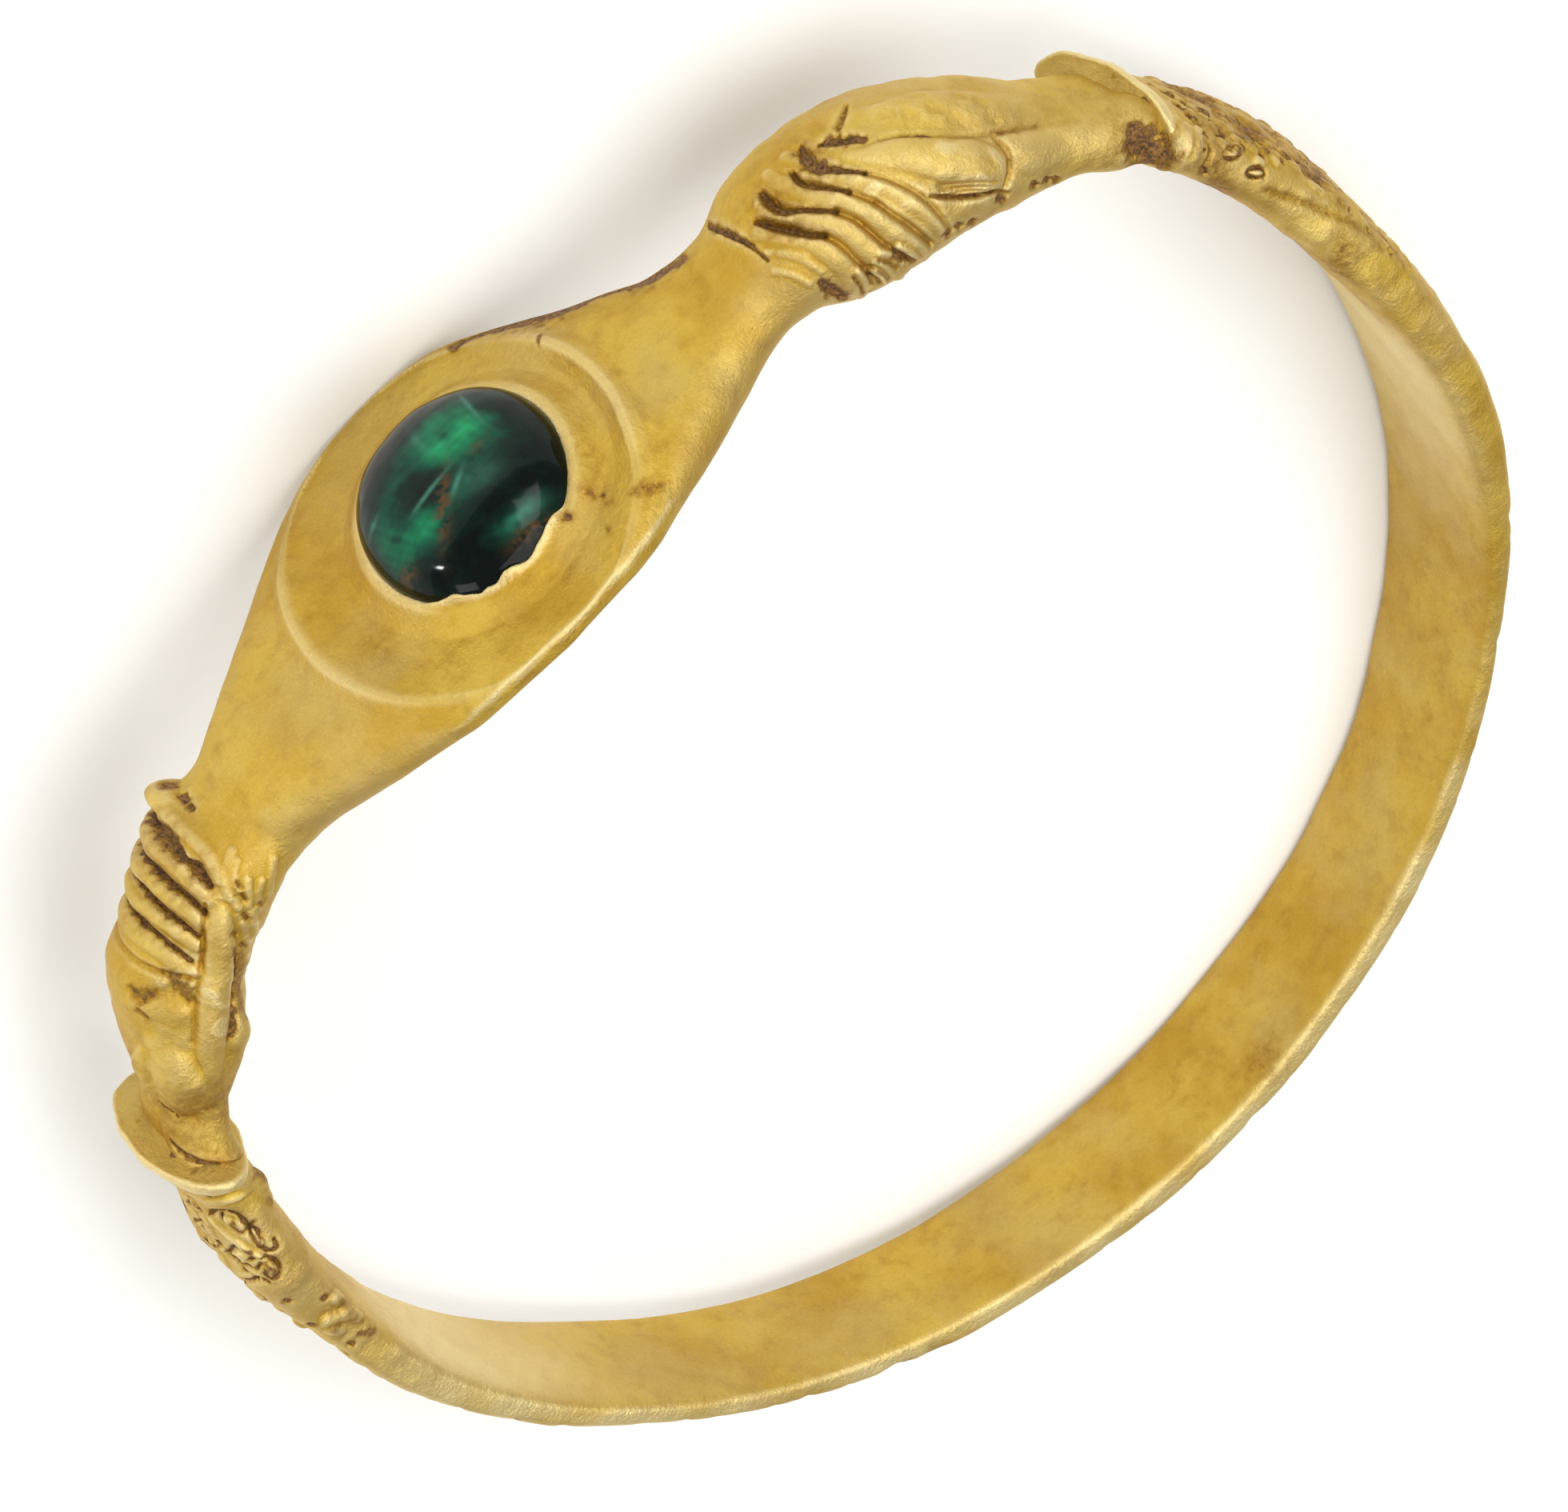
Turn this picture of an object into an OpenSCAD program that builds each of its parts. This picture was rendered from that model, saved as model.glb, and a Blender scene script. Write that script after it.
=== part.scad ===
// Finger ring of cast and chased gold, set with one oval cabochon. A thin round hoop swells into two
// sleeved arms. Each arm ends in a flared cuff, and the hand that leaves the cuff grips the stem of a
// long pointed-oval bezel, which lies almost straight across the front of the finger hole.
// The ring lies on its side: +Z is up along the finger hole, the bezel faces -Y, and the shape leans
// a little because the bezel is wider than the back of the hoop. Sizes are in millimetres.

/* [Hoop] */
// Radius of the round part of the finger hole
hole_r = 9; // [8.8:0.1:9.2]
// Width of the hoop at the back, along the finger hole
band_w = 2; // [1.9:0.02:2.1]
// Thickness of the hoop at the back
band_t = 0.45; // [0.4:0.01:0.5]

/* [Bezel] */
// Distance from the hoop's centre to the middle of the bezel's plate
bezel_reach = 7.4; // [7.34:0.02:7.44]
// Width of the bezel across its widest place
bezel_w = 5.4; // [5.3:0.02:5.5]
// Thickness of the bezel's plate at the widest place
bezel_t = 0.7; // [0.66:0.02:0.76]
// Sideways place of the collar's centre from the hoop's centre line
collar_x = 0.22; // [0.16:0.02:0.3]
// Level of the raised oval lip above the middle of the plate
lip_rise = 0.4; // [0.38:0.01:0.46]
// Level of the rim round the stone above the middle of the plate
rim_rise = 0.42; // [0.38:0.01:0.48]

/* [Stone] */
// Length of the cabochon along the bezel
stone_len = 2.9; // [2.8:0.02:3]
// Width of the cabochon across the bezel
stone_wid = 3.3; // [3.2:0.02:3.4]
// Height of the cabochon's dome above its girdle
stone_dome = 0.92; // [0.8:0.02:1]
// Depth of the cabochon below its girdle
stone_base = 0.3; // [0.25:0.01:0.32]
// Clearance between the cabochon and its seat
seat_gap = 0.05; // [0.04:0.01:0.08]

/* [Hands and cuffs] */
// Thickness of the chased fingers, as a share of the modelled thickness
finger_scale = 1; // [0.9:0.05:1.1]
// Thickness of the cuffs' rims
cuff_t = 0.3; // [0.26:0.02:0.34]
// Height of the scrolls on the sleeves
scroll_rise = 0.07; // [0.05:0.01:0.09]

/* [Hidden] */
$fn = 10;
// Lean of the finger hole from upright when the ring rests on its side, about X and then about Y
lean = 5.6;
roll = -0.83;
// Place of the hoop's centre at rest, from the middle of the space that the ring takes on the floor
rest_at = [0.104, -0.472, 1.951];
// Points round one section of the hoop, and the spacing of the sections in degrees
section_n = 20;
front_step = 3;
back_step = 6;
front_end = 102;

// Columns of the stations table
AT = 0;
REACH = 1;
TURN = 2;
HALF_W = 3;
HALF_T = 4;
SQUARE = 5;
// One row for each named section: place in degrees round the hoop from the bezel, distance of the
// section's middle from the hoop's centre, direction that its outer side faces, half its width, half
// its thickness and how square it is (2 is an ellipse)
back_reach = hole_r + band_t / 2;
stations = [
    [-180, back_reach + 0.065, -180, band_w / 2 + 0.03, band_t / 2 + 0.015, 5],
    [-170, back_reach + 0.055, -170, band_w / 2 + 0.04, band_t / 2 + 0.02, 5],
    [-160, back_reach + 0.105, -160, band_w / 2 + 0.05, band_t / 2 + 0.02, 5],
    [-150, back_reach + 0.115, -150, band_w / 2 + 0.07, band_t / 2, 5],
    [-140, back_reach + 0.085, -140, band_w / 2 + 0.16, band_t / 2 - 0.035, 5],
    [-130, back_reach + 0.105, -130, band_w / 2 + 0.27, band_t / 2 - 0.035, 5],
    [-120, back_reach + 0.185, -120, band_w / 2 + 0.37, band_t / 2 + 0.015, 5],
    [-110, back_reach + 0.205, -110, band_w / 2 + 0.46, band_t / 2 + 0.105, 5],
    [-100, back_reach + 0.225, -100, band_w / 2 + 0.46, band_t / 2 + 0.155, 4.5],
    [-90, 9.44, -90, 1.36, 0.43, 4],
    [-80, 9.51, -80, 1.06, 0.43, 3],
    [-72, 9.56, -71, 0.92, 0.4, 2.6],
    [-66, 9.6, -64, 0.88, 0.38, 2.4],
    [-63, 9.46, -60, 0.9, 0.48, 2.2],
    [-60, 9.35, -56, 0.84, 0.51, 2],
    [-57, 9.2, -49, 0.87, 0.62, 2],
    [-53, 9.12, -42, 1.04, 0.79, 2],
    [-49, 9.02, -36, 1.16, 0.93, 2],
    [-45, 8.85, -28, 1.24, 1.08, 2],
    [-41, 8.64, -20, 1.24, 1.14, 2],
    [-37.2, 8.42, -15, 1.2, 1.06, 2],
    [-33.6, 8.28, -11, 1.05, 0.88, 2],
    [-31, 7.94, -7, 0.9, 0.68, 2.1],
    [-28.5, 7.69, -5, 0.94, 0.66, 2.2],
    [-25, 7.45, -4, 1.17, 0.64, 2.3],
    [-21, 7.34, -6, 1.5, 0.6, 2.4],
    [-17, 7.28, -8, 1.81, 0.54, 2.6],
    [-13, 7.27, -8, 2.1, 0.47, 2.7],
    [-9, 7.29, -5, 2.39, 0.4, 2.8],
    [-5, 7.35, -3, 2.58, bezel_t / 2 + 0.02, 2.9],
    [0, bezel_reach, -1, bezel_w / 2 - 0.03, bezel_t / 2, 3],
    [4, bezel_reach + 0.03, 0, bezel_w / 2, bezel_t / 2, 3],
    [8, 7.49, 1, bezel_w / 2 - 0.05, bezel_t / 2 + 0.01, 2.9],
    [12, 7.58, 2, 2.57, 0.39, 2.8],
    [16, 7.64, 4, 2.42, 0.43, 2.7],
    [20, 7.74, 6, 2.16, 0.49, 2.6],
    [24.5, 7.86, 9, 1.85, 0.57, 2.4],
    [28.6, 8.04, 12, 1.51, 0.64, 2.3],
    [32.9, 8.24, 16, 1.16, 0.69, 2.2],
    [36, 8.38, 22, 0.96, 0.7, 2.1],
    [38.5, 8.73, 31, 1.04, 0.86, 2],
    [42, 8.85, 36, 1.05, 0.86, 2],
    [46, 8.98, 41, 0.96, 0.8, 2],
    [50, 9.18, 47, 0.96, 0.84, 2],
    [54, 9.14, 53, 0.98, 0.8, 2],
    [57.5, 9.13, 57, 0.98, 0.72, 2],
    [60, 9.16, 59, 0.88, 0.6, 2],
    [62, 9.22, 60, 0.76, 0.48, 2],
    [64, 9.3, 61, 0.76, 0.44, 2],
    [66, 9.37, 64, 0.86, 0.43, 2.2],
    [69, 9.36, 67, 0.92, 0.43, 2.4],
    [72, 9.26, 71, 0.98, 0.43, 2.5],
    [76, 9.28, 76, 1.08, 0.45, 2.6],
    [80, 9.3, 80, 1.14, 0.5, 2.8],
    [90, 9.23, 90, 0.97, 0.34, 4],
    [100, back_reach + 0.085, 100, band_w / 2, band_t / 2 + 0.08, 4.5],
    [110, back_reach + 0.045, 110, band_w / 2 + 0.04, band_t / 2 + 0.005, 5],
    [120, back_reach - 0.025, 120, band_w / 2 + 0.06, band_t / 2 - 0.035, 5],
    [130, back_reach - 0.005, 130, band_w / 2 + 0.02, band_t / 2 - 0.035, 5],
    [140, back_reach + 0.055, 140, band_w / 2 - 0.02, band_t / 2 - 0.025, 5],
    [150, back_reach + 0.07, 150, band_w / 2 - 0.02, band_t / 2 - 0.01, 5],
    [170, back_reach + 0.035, 170, band_w / 2, band_t / 2 + 0.005, 5],
    [180, back_reach + 0.065, 180, band_w / 2 + 0.03, band_t / 2 + 0.015, 5]
];

// Shapes of the two cuffs, as the cuff module reads them
near_cuff = [66.3, 9.44, 0.69, 0.62, 1.28, 1.26, 0.2, -0.04];
far_cuff = [64.6, 9.54, 0.66, 0.42, 1.18, 1.12, 0.2, -0.42];

// Value of one column of the stations table at any place round the hoop
function station(at, column) = lookup(at, [for (row = stations) [row[AT], row[column]]]);

// Unit vector that faces outward at a turn from the bezel's own direction
function facing(turn) = [sin(turn), -cos(turn), 0];

// Coordinate of a superellipse with half size one, from the cosine or sine of its angle
function rounded(value, square) = sign(value) * pow(abs(value), 2 / square);

// Point near the hoop's skin: at degrees round the hoop, around degrees round the section (0 faces
// outward, 90 faces up along the finger hole), and raised above the skin by rise
function skin(at, around, rise = 0) =
    let (
        square = station(at, SQUARE),
        out = (station(at, HALF_T) + rise) * rounded(cos(around), square),
        up = (station(at, HALF_W) + rise) * rounded(sin(around), square)
    )
    station(at, REACH) * facing(at) + out * facing(station(at, TURN)) + [0, 0, up];

// Closed solid through a loop of sections that each hold the same number of points
module loop_solid(sections) {
    count = len(sections);
    size = len(sections[0]);
    points = [for (section = sections) each section];
    faces = [
        for (i = [0 : count - 1], j = [0 : size - 1])
            let (next_i = (i + 1) % count, next_j = (j + 1) % size)
            [i * size + next_j, next_i * size + next_j, next_i * size + j, i * size + j]
    ];
    polyhedron(points, faces, convexity = 10);
}

// Closed solid through a stack of sections, with a flat cap at each end
module stack_solid(sections) {
    count = len(sections);
    size = len(sections[0]);
    points = [for (section = sections) each section];
    sides = [
        for (i = [0 : count - 2], j = [0 : size - 1])
            let (next_j = (j + 1) % size)
            [(i + 1) * size + j, (i + 1) * size + next_j, i * size + next_j, i * size + j]
    ];
    caps = [
        [for (j = [0 : size - 1]) j],
        [for (j = [size - 1 : -1 : 0]) (count - 1) * size + j]
    ];
    polyhedron(points, concat(sides, caps), convexity = 6);
}

// Rounded strand through a list of rows, each with a place, an angle round the section, a rise and a
// radius
module strand(rows, size = 1) {
    for (i = [0 : len(rows) - 2])
        hull()
            for (row = [rows[i], rows[i + 1]])
                translate(skin(row[0], row[1], row[2]))
                    sphere(r = row[3] * size);
}

// Hoop, arms and bezel plate as one swept solid
module hoop() {
    places = concat(
        [for (at = [-front_end : front_step : front_end]) at],
        [for (at = [front_end + back_step : back_step : 360 - front_end - back_step]) at]
    );
    loop_solid([
        for (at = places)
            let (place = at > 180 ? at - 360 : at)
            [for (j = [0 : section_n - 1]) skin(place, 360 * j / section_n)]
    ]);
}

// Columns of the collar tables
OVAL_X = 0;
OVAL_Z = 1;
LEVEL = 2;
DROP = 3;
collar_n = 40;

// How much higher the collar stands for each millimetre towards +X, and how far it drops at its sides
collar_tilt = 0.035;
side_drop = 0.055;
// Place of the lip's middle from the stone's, along and across the bezel
lip_middle = [0.25, 0.1];

// Oval section of the bezel's top: half length, half width, level above the plate's middle, drop at its
// sides and place of its middle from the stone's
function oval(half_x, half_z, level, drop = side_drop, middle = [0, 0]) = [
    for (j = [0 : collar_n - 1])
        let (angle = 360 * j / collar_n, x = middle[0] + half_x * cos(angle))
        [
            collar_x + x,
            -bezel_reach - level - collar_tilt * x + drop * pow(sin(angle), 2),
            middle[1] + half_z * sin(angle)
        ]
];

// Broad raised lip of the collar, which dies away at the bezel's two long edges
module lip() {
    stack_solid([
        for (row = [
            [2.74, 2.52, -0.1, 0.06],
            [2.68, 2.5, lip_rise - 0.12, 0.2],
            [2.56, 2.46, lip_rise, 0.25],
            [2.4, 2.4, lip_rise + 0.02, 0.27]
        ])
            oval(row[OVAL_X], row[OVAL_Z], row[LEVEL], row[DROP], lip_middle)
    ]);
}

// Shallow dish between the lip and the rim of the stone, open at the bezel's two long edges
module dish() {
    stack_solid([
        for (row = [
            [1.6, 1.7, lip_rise - 0.26, side_drop],
            [1.95, 1.95, lip_rise - 0.16, 0.08],
            [2.5, 2.56, lip_rise + 0.05, 0.25],
            [2.98, 3.1, lip_rise + 0.4, 0.25]
        ])
            oval(row[OVAL_X], row[OVAL_Z], row[LEVEL], row[DROP], lip_middle)
    ]);
}

// Narrow rim that stands round the stone
module rim() {
    rim_x = stone_len / 2;
    rim_z = stone_wid / 2;
    stack_solid([
        for (row = [
            [rim_x + 0.42, rim_z + 0.38, -0.1],
            [rim_x + 0.38, rim_z + 0.34, lip_rise - 0.22],
            [rim_x + 0.24, rim_z + 0.22, rim_rise - 0.08],
            [rim_x + 0.18, rim_z + 0.17, rim_rise]
        ])
            oval(row[OVAL_X], row[OVAL_Z], row[LEVEL])
    ]);
}

// Cabochon, or the same shape grown by a gap: flat base, upright girdle and a low dome
module cabochon(gap = 0) {
    girdle = rim_rise - 0.1;
    dome_steps = 9;
    stack_solid(concat(
        [
            oval(stone_len / 2 - 0.12 + gap, stone_wid / 2 - 0.12 + gap, girdle - stone_base - gap),
            oval(stone_len / 2 - 0.02 + gap, stone_wid / 2 - 0.02 + gap, girdle - stone_base / 2)
        ],
        [
            for (step = [0 : dome_steps - 1])
                let (angle = 87 * step / (dome_steps - 1), grow = pow(cos(angle), 0.9))
                oval(
                    (stone_len / 2 + gap) * grow,
                    (stone_wid / 2 + gap) * grow,
                    girdle + (stone_dome + gap) * sin(angle)
                )
        ]
    ));
}

// Hand on the +X side: fingers that wrap across the stem, a straight thumb and a rounded heel
module near_hand() {
    // Each finger: place at its knuckle, place at its tip, thickness
    for (finger = [[38.8, 39.6, 0.21], [40.9, 41.5, 0.19], [42.8, 43.4, 0.19], [44.7, 45.4, 0.2], [47, 47.8, 0.24]])
        strand([
            [finger[0], -150, -0.08, finger[2]],
            [finger[0], -100, -0.04, finger[2]],
            [finger[0], -50, -0.02, finger[2]],
            [finger[0], -15, -0.02, finger[2]],
            [(finger[0] + finger[1]) / 2, 25, -0.03, finger[2]],
            [finger[1], 60, -0.06, finger[2] * 0.9]
        ], finger_scale);
    // Thumb
    strand([
        [42, 74, -0.05, 0.2],
        [46, 76, 0, 0.24],
        [52, 78, 0.02, 0.24],
        [56, 80, -0.02, 0.22],
        [58, 80, -0.08, 0.2]
    ], finger_scale);
    // Knuckle knob at the end of the first finger
    strand([
        [37.6, -64, 0.02, 0.21],
        [37.4, -35, 0.04, 0.22],
        [37.8, -10, 0, 0.17]
    ], finger_scale);
    // Heel of the hand on the upper and inner side
    strand([
        [53.2, 112, -0.06, 0.26],
        [55, 112, -0.02, 0.3],
        [57.4, 104, -0.12, 0.22]
    ], finger_scale);
    // Heel of the hand, outer side
    strand([
        [55, 20, -0.2, 0.3],
        [58.5, 30, -0.14, 0.3],
        [58.5, 60, -0.14, 0.3]
    ], finger_scale);
}

// Hand on the -X side: a long pad with a nail, folded fingers that run slantwise, and a wrist
module far_hand() {
    // Folded fingers, from the knuckles to the upper inner side
    for (finger = [
        [[-35.5, 36], [-38, 47], [-42, 66], [-45, 88], [-46.5, 108]],
        [[-34.5, 44], [-37, 56], [-40.5, 78], [-43, 102], [-44, 122]],
        [[-33, 51], [-36, 65], [-38.6, 87], [-40.5, 110], [-41, 130]],
        [[-32, 62], [-34.5, 78], [-36.6, 100], [-38, 122], [-38.5, 140]]
    ])
        strand([
            for (i = [0 : 4])
                [finger[i][0], finger[i][1], [-0.08, -0.03, 0, -0.02, -0.1][i], [0.13, 0.19, 0.22, 0.2, 0.16][i]]
        ], finger_scale);
    // Long pad of the thumb
    strand([
        [-37, 26, -0.08, 0.12],
        [-40, 36, -0.06, 0.2],
        [-44, 46, -0.08, 0.32],
        [-48, 56, -0.1, 0.36],
        [-50.2, 60, -0.12, 0.3]
    ], finger_scale);
    // Upper finger along the back of the hand
    strand([
        [-38.5, 2, -0.1, 0.2],
        [-42, 8, -0.1, 0.28],
        [-46, 13, -0.12, 0.3],
        [-50, 18, -0.14, 0.26]
    ], finger_scale);
    // Base of the thumb
    strand([
        [-51.5, 58, -0.16, 0.26],
        [-54, 62, -0.14, 0.3],
        [-58, 72, -0.16, 0.24]
    ], finger_scale);
}

// Columns of a cuff's shape: place of its middle, distance of that from the hoop's centre, half sizes
// outward, inward, upward and downward, and lean along the arm for each millimetre outward and upward
CUFF_AT = 0;
CUFF_REACH = 1;
CUFF_OUT = 2;
CUFF_IN = 3;
CUFF_UP = 4;
CUFF_DOWN = 5;
LEAN_OUT = 6;
LEAN_UP = 7;

// Flared cuff: an oval disc with a rounded rim
module cuff(side, shape) {
    rim_r = cuff_t / 2;
    turn = shape[CUFF_AT] - 2;
    middle = shape[CUFF_REACH] * facing(side * shape[CUFF_AT]);
    along = [-side * cos(turn), -sin(turn), 0];
    out = facing(side * turn) + shape[LEAN_OUT] * along;
    up = [0, 0, 1] + shape[LEAN_UP] * along;
    hull()
        for (j = [0 : 15])
            let (
                angle = 360 * j / 16,
                half_out = (cos(angle) > 0 ? shape[CUFF_OUT] : shape[CUFF_IN]) - rim_r,
                half_up = (sin(angle) > 0 ? shape[CUFF_UP] : shape[CUFF_DOWN]) - rim_r
            )
            translate(middle + half_out * cos(angle) * out + half_up * sin(angle) * up)
                sphere(r = rim_r);
}

// C-shaped scroll with an eye, raised on a sleeve
module scroll(at, around, reach_deg, reach_round, start, sweep) {
    strand($fn = 6, rows = [
        for (i = [0 : 5])
            let (angle = start + sweep * i / 5, grow = 1 - 0.5 * i / 5)
            [at + reach_deg * grow * cos(angle), around + reach_round * grow * sin(angle), scroll_rise - 0.1, 0.1]
    ]);
}

// Scrolls and pellets on both sleeves
module sleeve_relief() {
    for (side = [-1, 1]) {
        scroll(side * 69.6, 60, side * 2, 18, 160, -300);
        scroll(side * 74, 46, side * 2, 18, -20, 300);
        scroll(side * 69.5, 8, side * 2, 18, 160, 300);
        scroll(side * 74, -14, side * 2, 18, -20, -300);
        for (pellet = [[72, 80], [78.5, 30], [79, 64], [79, -10], [83, 20], [83, -30]])
            translate(skin(side * pellet[0], pellet[1], 0))
                sphere(r = scroll_rise + 0.05);
    }
}

// All the gold: hoop, bezel, hands and cuffs are soldered and chased into one piece
module gold_body() {
    difference() {
        union() {
            difference() {
                union() {
                    hoop();
                    lip();
                }
                dish();
            }
            rim();
            near_hand();
            far_hand();
            cuff(1, near_cuff);
            cuff(-1, far_cuff);
            sleeve_relief();
        }
        cabochon(seat_gap);
    }
}

// Turn from the upright drawing position to the way the ring rests
module at_rest() {
    translate(rest_at)
        rotate([0, roll, 0])
            rotate([-lean, 0, 0])
                children();
}

module gold_ring() {
    color([0.78, 0.62, 0.22])
        at_rest()
            gold_body();
}

module emerald() {
    color([0.02, 0.2, 0.1])
        at_rest()
            cabochon();
}

gold_ring();
emerald();
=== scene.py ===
"""Looks of a cast and chased gold finger ring with one oval cabochon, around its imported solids.

Every gold surface is a height worked out over the same swept skin as the solids: a place in degrees
round the hoop from the bezel, and an angle round the section there (0 faces outward, 90 faces up along
the finger hole). Sizes are in millimetres until a shape is laid at rest, and in metres after that; the
rows of the chasing alone give theirs in hundredths of a millimetre.
"""

import bpy
import numpy as np
from mathutils import Matrix, Vector


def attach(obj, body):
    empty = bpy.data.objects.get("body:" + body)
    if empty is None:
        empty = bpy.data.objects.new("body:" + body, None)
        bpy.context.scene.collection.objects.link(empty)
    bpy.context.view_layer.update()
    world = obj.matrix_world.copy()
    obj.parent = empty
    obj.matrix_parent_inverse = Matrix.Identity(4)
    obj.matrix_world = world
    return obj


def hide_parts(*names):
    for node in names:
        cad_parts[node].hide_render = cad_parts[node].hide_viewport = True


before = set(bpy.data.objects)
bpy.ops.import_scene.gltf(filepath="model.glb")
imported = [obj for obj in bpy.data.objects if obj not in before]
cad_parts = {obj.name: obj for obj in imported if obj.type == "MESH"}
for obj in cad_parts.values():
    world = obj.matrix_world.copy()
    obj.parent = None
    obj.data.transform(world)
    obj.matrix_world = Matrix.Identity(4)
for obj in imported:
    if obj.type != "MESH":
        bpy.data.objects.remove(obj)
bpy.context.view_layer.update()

MM = 0.001

# How the ring lies: lean about X, roll about Y, and the hoop's centre on the floor
LEAN = -5.6
ROLL = -0.83
REST_AT = np.array([0.104, -0.472, 1.951])

# Bezel and collar, as in the solids: distance of the bezel's outer face from the hoop's centre, the
# degrees that it spans on either side, the collar's shift along it, its rise for each millimetre along,
# the distance at which it ends, and how much lower it lies on its two long sides
BEZEL_REACH = 7.4
BEZEL_SPAN = 45
COLLAR_X = 0.22
COLLAR_TILT = 0.035
COLLAR_END = 3.7
SIDE_DROP = 0.055

# Columns of the stations table: place, reach, turn of the section, half width, half thickness, squareness
AT, REACH, TURN, HALF_W, HALF_T, SQUARE = range(6)
# Back of the hoop: reach, half width and half thickness of a plain band, and rows of the place, how far
# the ring's own reach, half width and half thickness differ from the band's there, and the squareness
BACK = 9.225
BAND_W, BAND_T = 1.0, 0.225
HOOP = [
    [-180, 0.065, 0.03, 0.015, 5], [-170, 0.055, 0.04, 0.02, 5], [-160, 0.105, 0.05, 0.02, 5],
    [-150, 0.115, 0.07, 0, 5], [-140, 0.085, 0.16, -0.035, 5], [-130, 0.105, 0.27, -0.035, 5],
    [-120, 0.185, 0.37, 0.015, 5], [-110, 0.205, 0.46, 0.105, 5], [-100, 0.225, 0.46, 0.155, 4.5],
    [100, 0.085, 0, 0.08, 4.5], [110, 0.045, 0.04, 0.005, 5], [120, -0.025, 0.06, -0.035, 5],
    [130, -0.005, 0.02, -0.035, 5], [140, 0.055, -0.02, -0.025, 5], [150, 0.07, -0.02, -0.01, 5],
    [170, 0.035, 0, 0.005, 5], [180, 0.065, 0.03, 0.015, 5],
]
# Arms, hands and bezel, with all the columns
ARMS = [
    [-90, 9.44, -90, 1.36, 0.43, 4], [-80, 9.51, -80, 1.06, 0.43, 3], [-72, 9.56, -71, 0.92, 0.4, 2.6],
    [-66, 9.6, -64, 0.88, 0.38, 2.4], [-63, 9.46, -60, 0.9, 0.48, 2.2], [-60, 9.35, -56, 0.84, 0.51, 2],
    [-57, 9.2, -49, 0.87, 0.62, 2], [-53, 9.12, -42, 1.04, 0.79, 2], [-49, 9.02, -36, 1.16, 0.93, 2],
    [-45, 8.85, -28, 1.24, 1.08, 2], [-41, 8.64, -20, 1.24, 1.14, 2], [-37.2, 8.42, -15, 1.2, 1.06, 2],
    [-33.6, 8.28, -11, 1.05, 0.88, 2], [-31, 7.94, -7, 0.9, 0.68, 2.1], [-28.5, 7.69, -5, 0.94, 0.66, 2.2],
    [-25, 7.45, -4, 1.17, 0.64, 2.3], [-21, 7.34, -6, 1.5, 0.6, 2.4], [-17, 7.28, -8, 1.81, 0.54, 2.6],
    [-13, 7.27, -8, 2.1, 0.47, 2.7], [-9, 7.29, -5, 2.39, 0.4, 2.8], [-5, 7.35, -3, 2.58, 0.37, 2.9],
    [0, 7.4, -1, 2.67, 0.35, 3], [4, 7.43, 0, 2.7, 0.35, 3], [8, 7.49, 1, 2.65, 0.36, 2.9],
    [12, 7.58, 2, 2.57, 0.39, 2.8], [16, 7.64, 4, 2.42, 0.43, 2.7], [20, 7.74, 6, 2.16, 0.49, 2.6],
    [24.5, 7.86, 9, 1.85, 0.57, 2.4], [28.6, 8.04, 12, 1.51, 0.64, 2.3], [32.9, 8.24, 16, 1.16, 0.69, 2.2],
    [36, 8.38, 22, 0.96, 0.7, 2.1], [38.5, 8.73, 31, 1.04, 0.86, 2], [42, 8.85, 36, 1.05, 0.86, 2],
    [46, 8.98, 41, 0.96, 0.8, 2], [50, 9.18, 47, 0.96, 0.84, 2], [54, 9.14, 53, 0.98, 0.8, 2],
    [57.5, 9.13, 57, 0.98, 0.72, 2], [60, 9.16, 59, 0.88, 0.6, 2], [62, 9.22, 60, 0.76, 0.48, 2],
    [64, 9.3, 61, 0.76, 0.44, 2], [66, 9.37, 64, 0.86, 0.43, 2.2], [69, 9.36, 67, 0.92, 0.43, 2.4],
    [72, 9.26, 71, 0.98, 0.43, 2.5], [76, 9.28, 76, 1.08, 0.45, 2.6], [80, 9.3, 80, 1.14, 0.5, 2.8],
    [90, 9.23, 90, 0.97, 0.34, 4],
]
BANDS = [
    [at, BACK + reach, at, BAND_W + width, BAND_T + thick, square] for at, reach, width, thick, square in HOOP
]
STATIONS = np.array(sorted(BANDS + ARMS))

# Spacing in degrees of the eased stations, the bell curves that ease them at front and back, and the
# places between which one easing passes into the other
PLACE_STEP = 0.25
PLACES = np.arange(-180, 180, PLACE_STEP)
FRONT_EASE = 0.55
BACK_EASE = 3.0
EASE_CHANGES = (78, 96)


def bell(values, width):
    """Average of values round the hoop under a bell curve that many degrees wide."""
    waves = np.fft.rfftfreq(len(values), PLACE_STEP)
    return np.fft.irfft(np.fft.rfft(values) * np.exp(-2 * (np.pi * waves * width) ** 2), len(values))


def smooth_step(value, low, high):
    """Share from 0 at low to 1 at high, level at both ends: three squares less two cubes."""
    share = np.clip((value - low) / (high - low), 0, 1)
    return share * share * (3 - 2 * share)


def between(value, start, full, fading, end):
    """Share that rises from 0 at start to 1 at full, and falls again from fading to 0 at end."""
    return smooth_step(value, start, full) * (1 - smooth_step(value, fading, end))


def eased(column):
    """One column of the stations at every place: straight between rows, then averaged."""
    rough = np.interp(PLACES, STATIONS[:, AT], STATIONS[:, column] - (column == TURN) * STATIONS[:, AT])
    back = smooth_step(np.abs(PLACES), *EASE_CHANGES)
    return bell(rough, FRONT_EASE) * (1 - back) + bell(rough, BACK_EASE) * back


EASED = {column: eased(column) for column in (REACH, TURN, HALF_W, HALF_T, SQUARE)}


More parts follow.
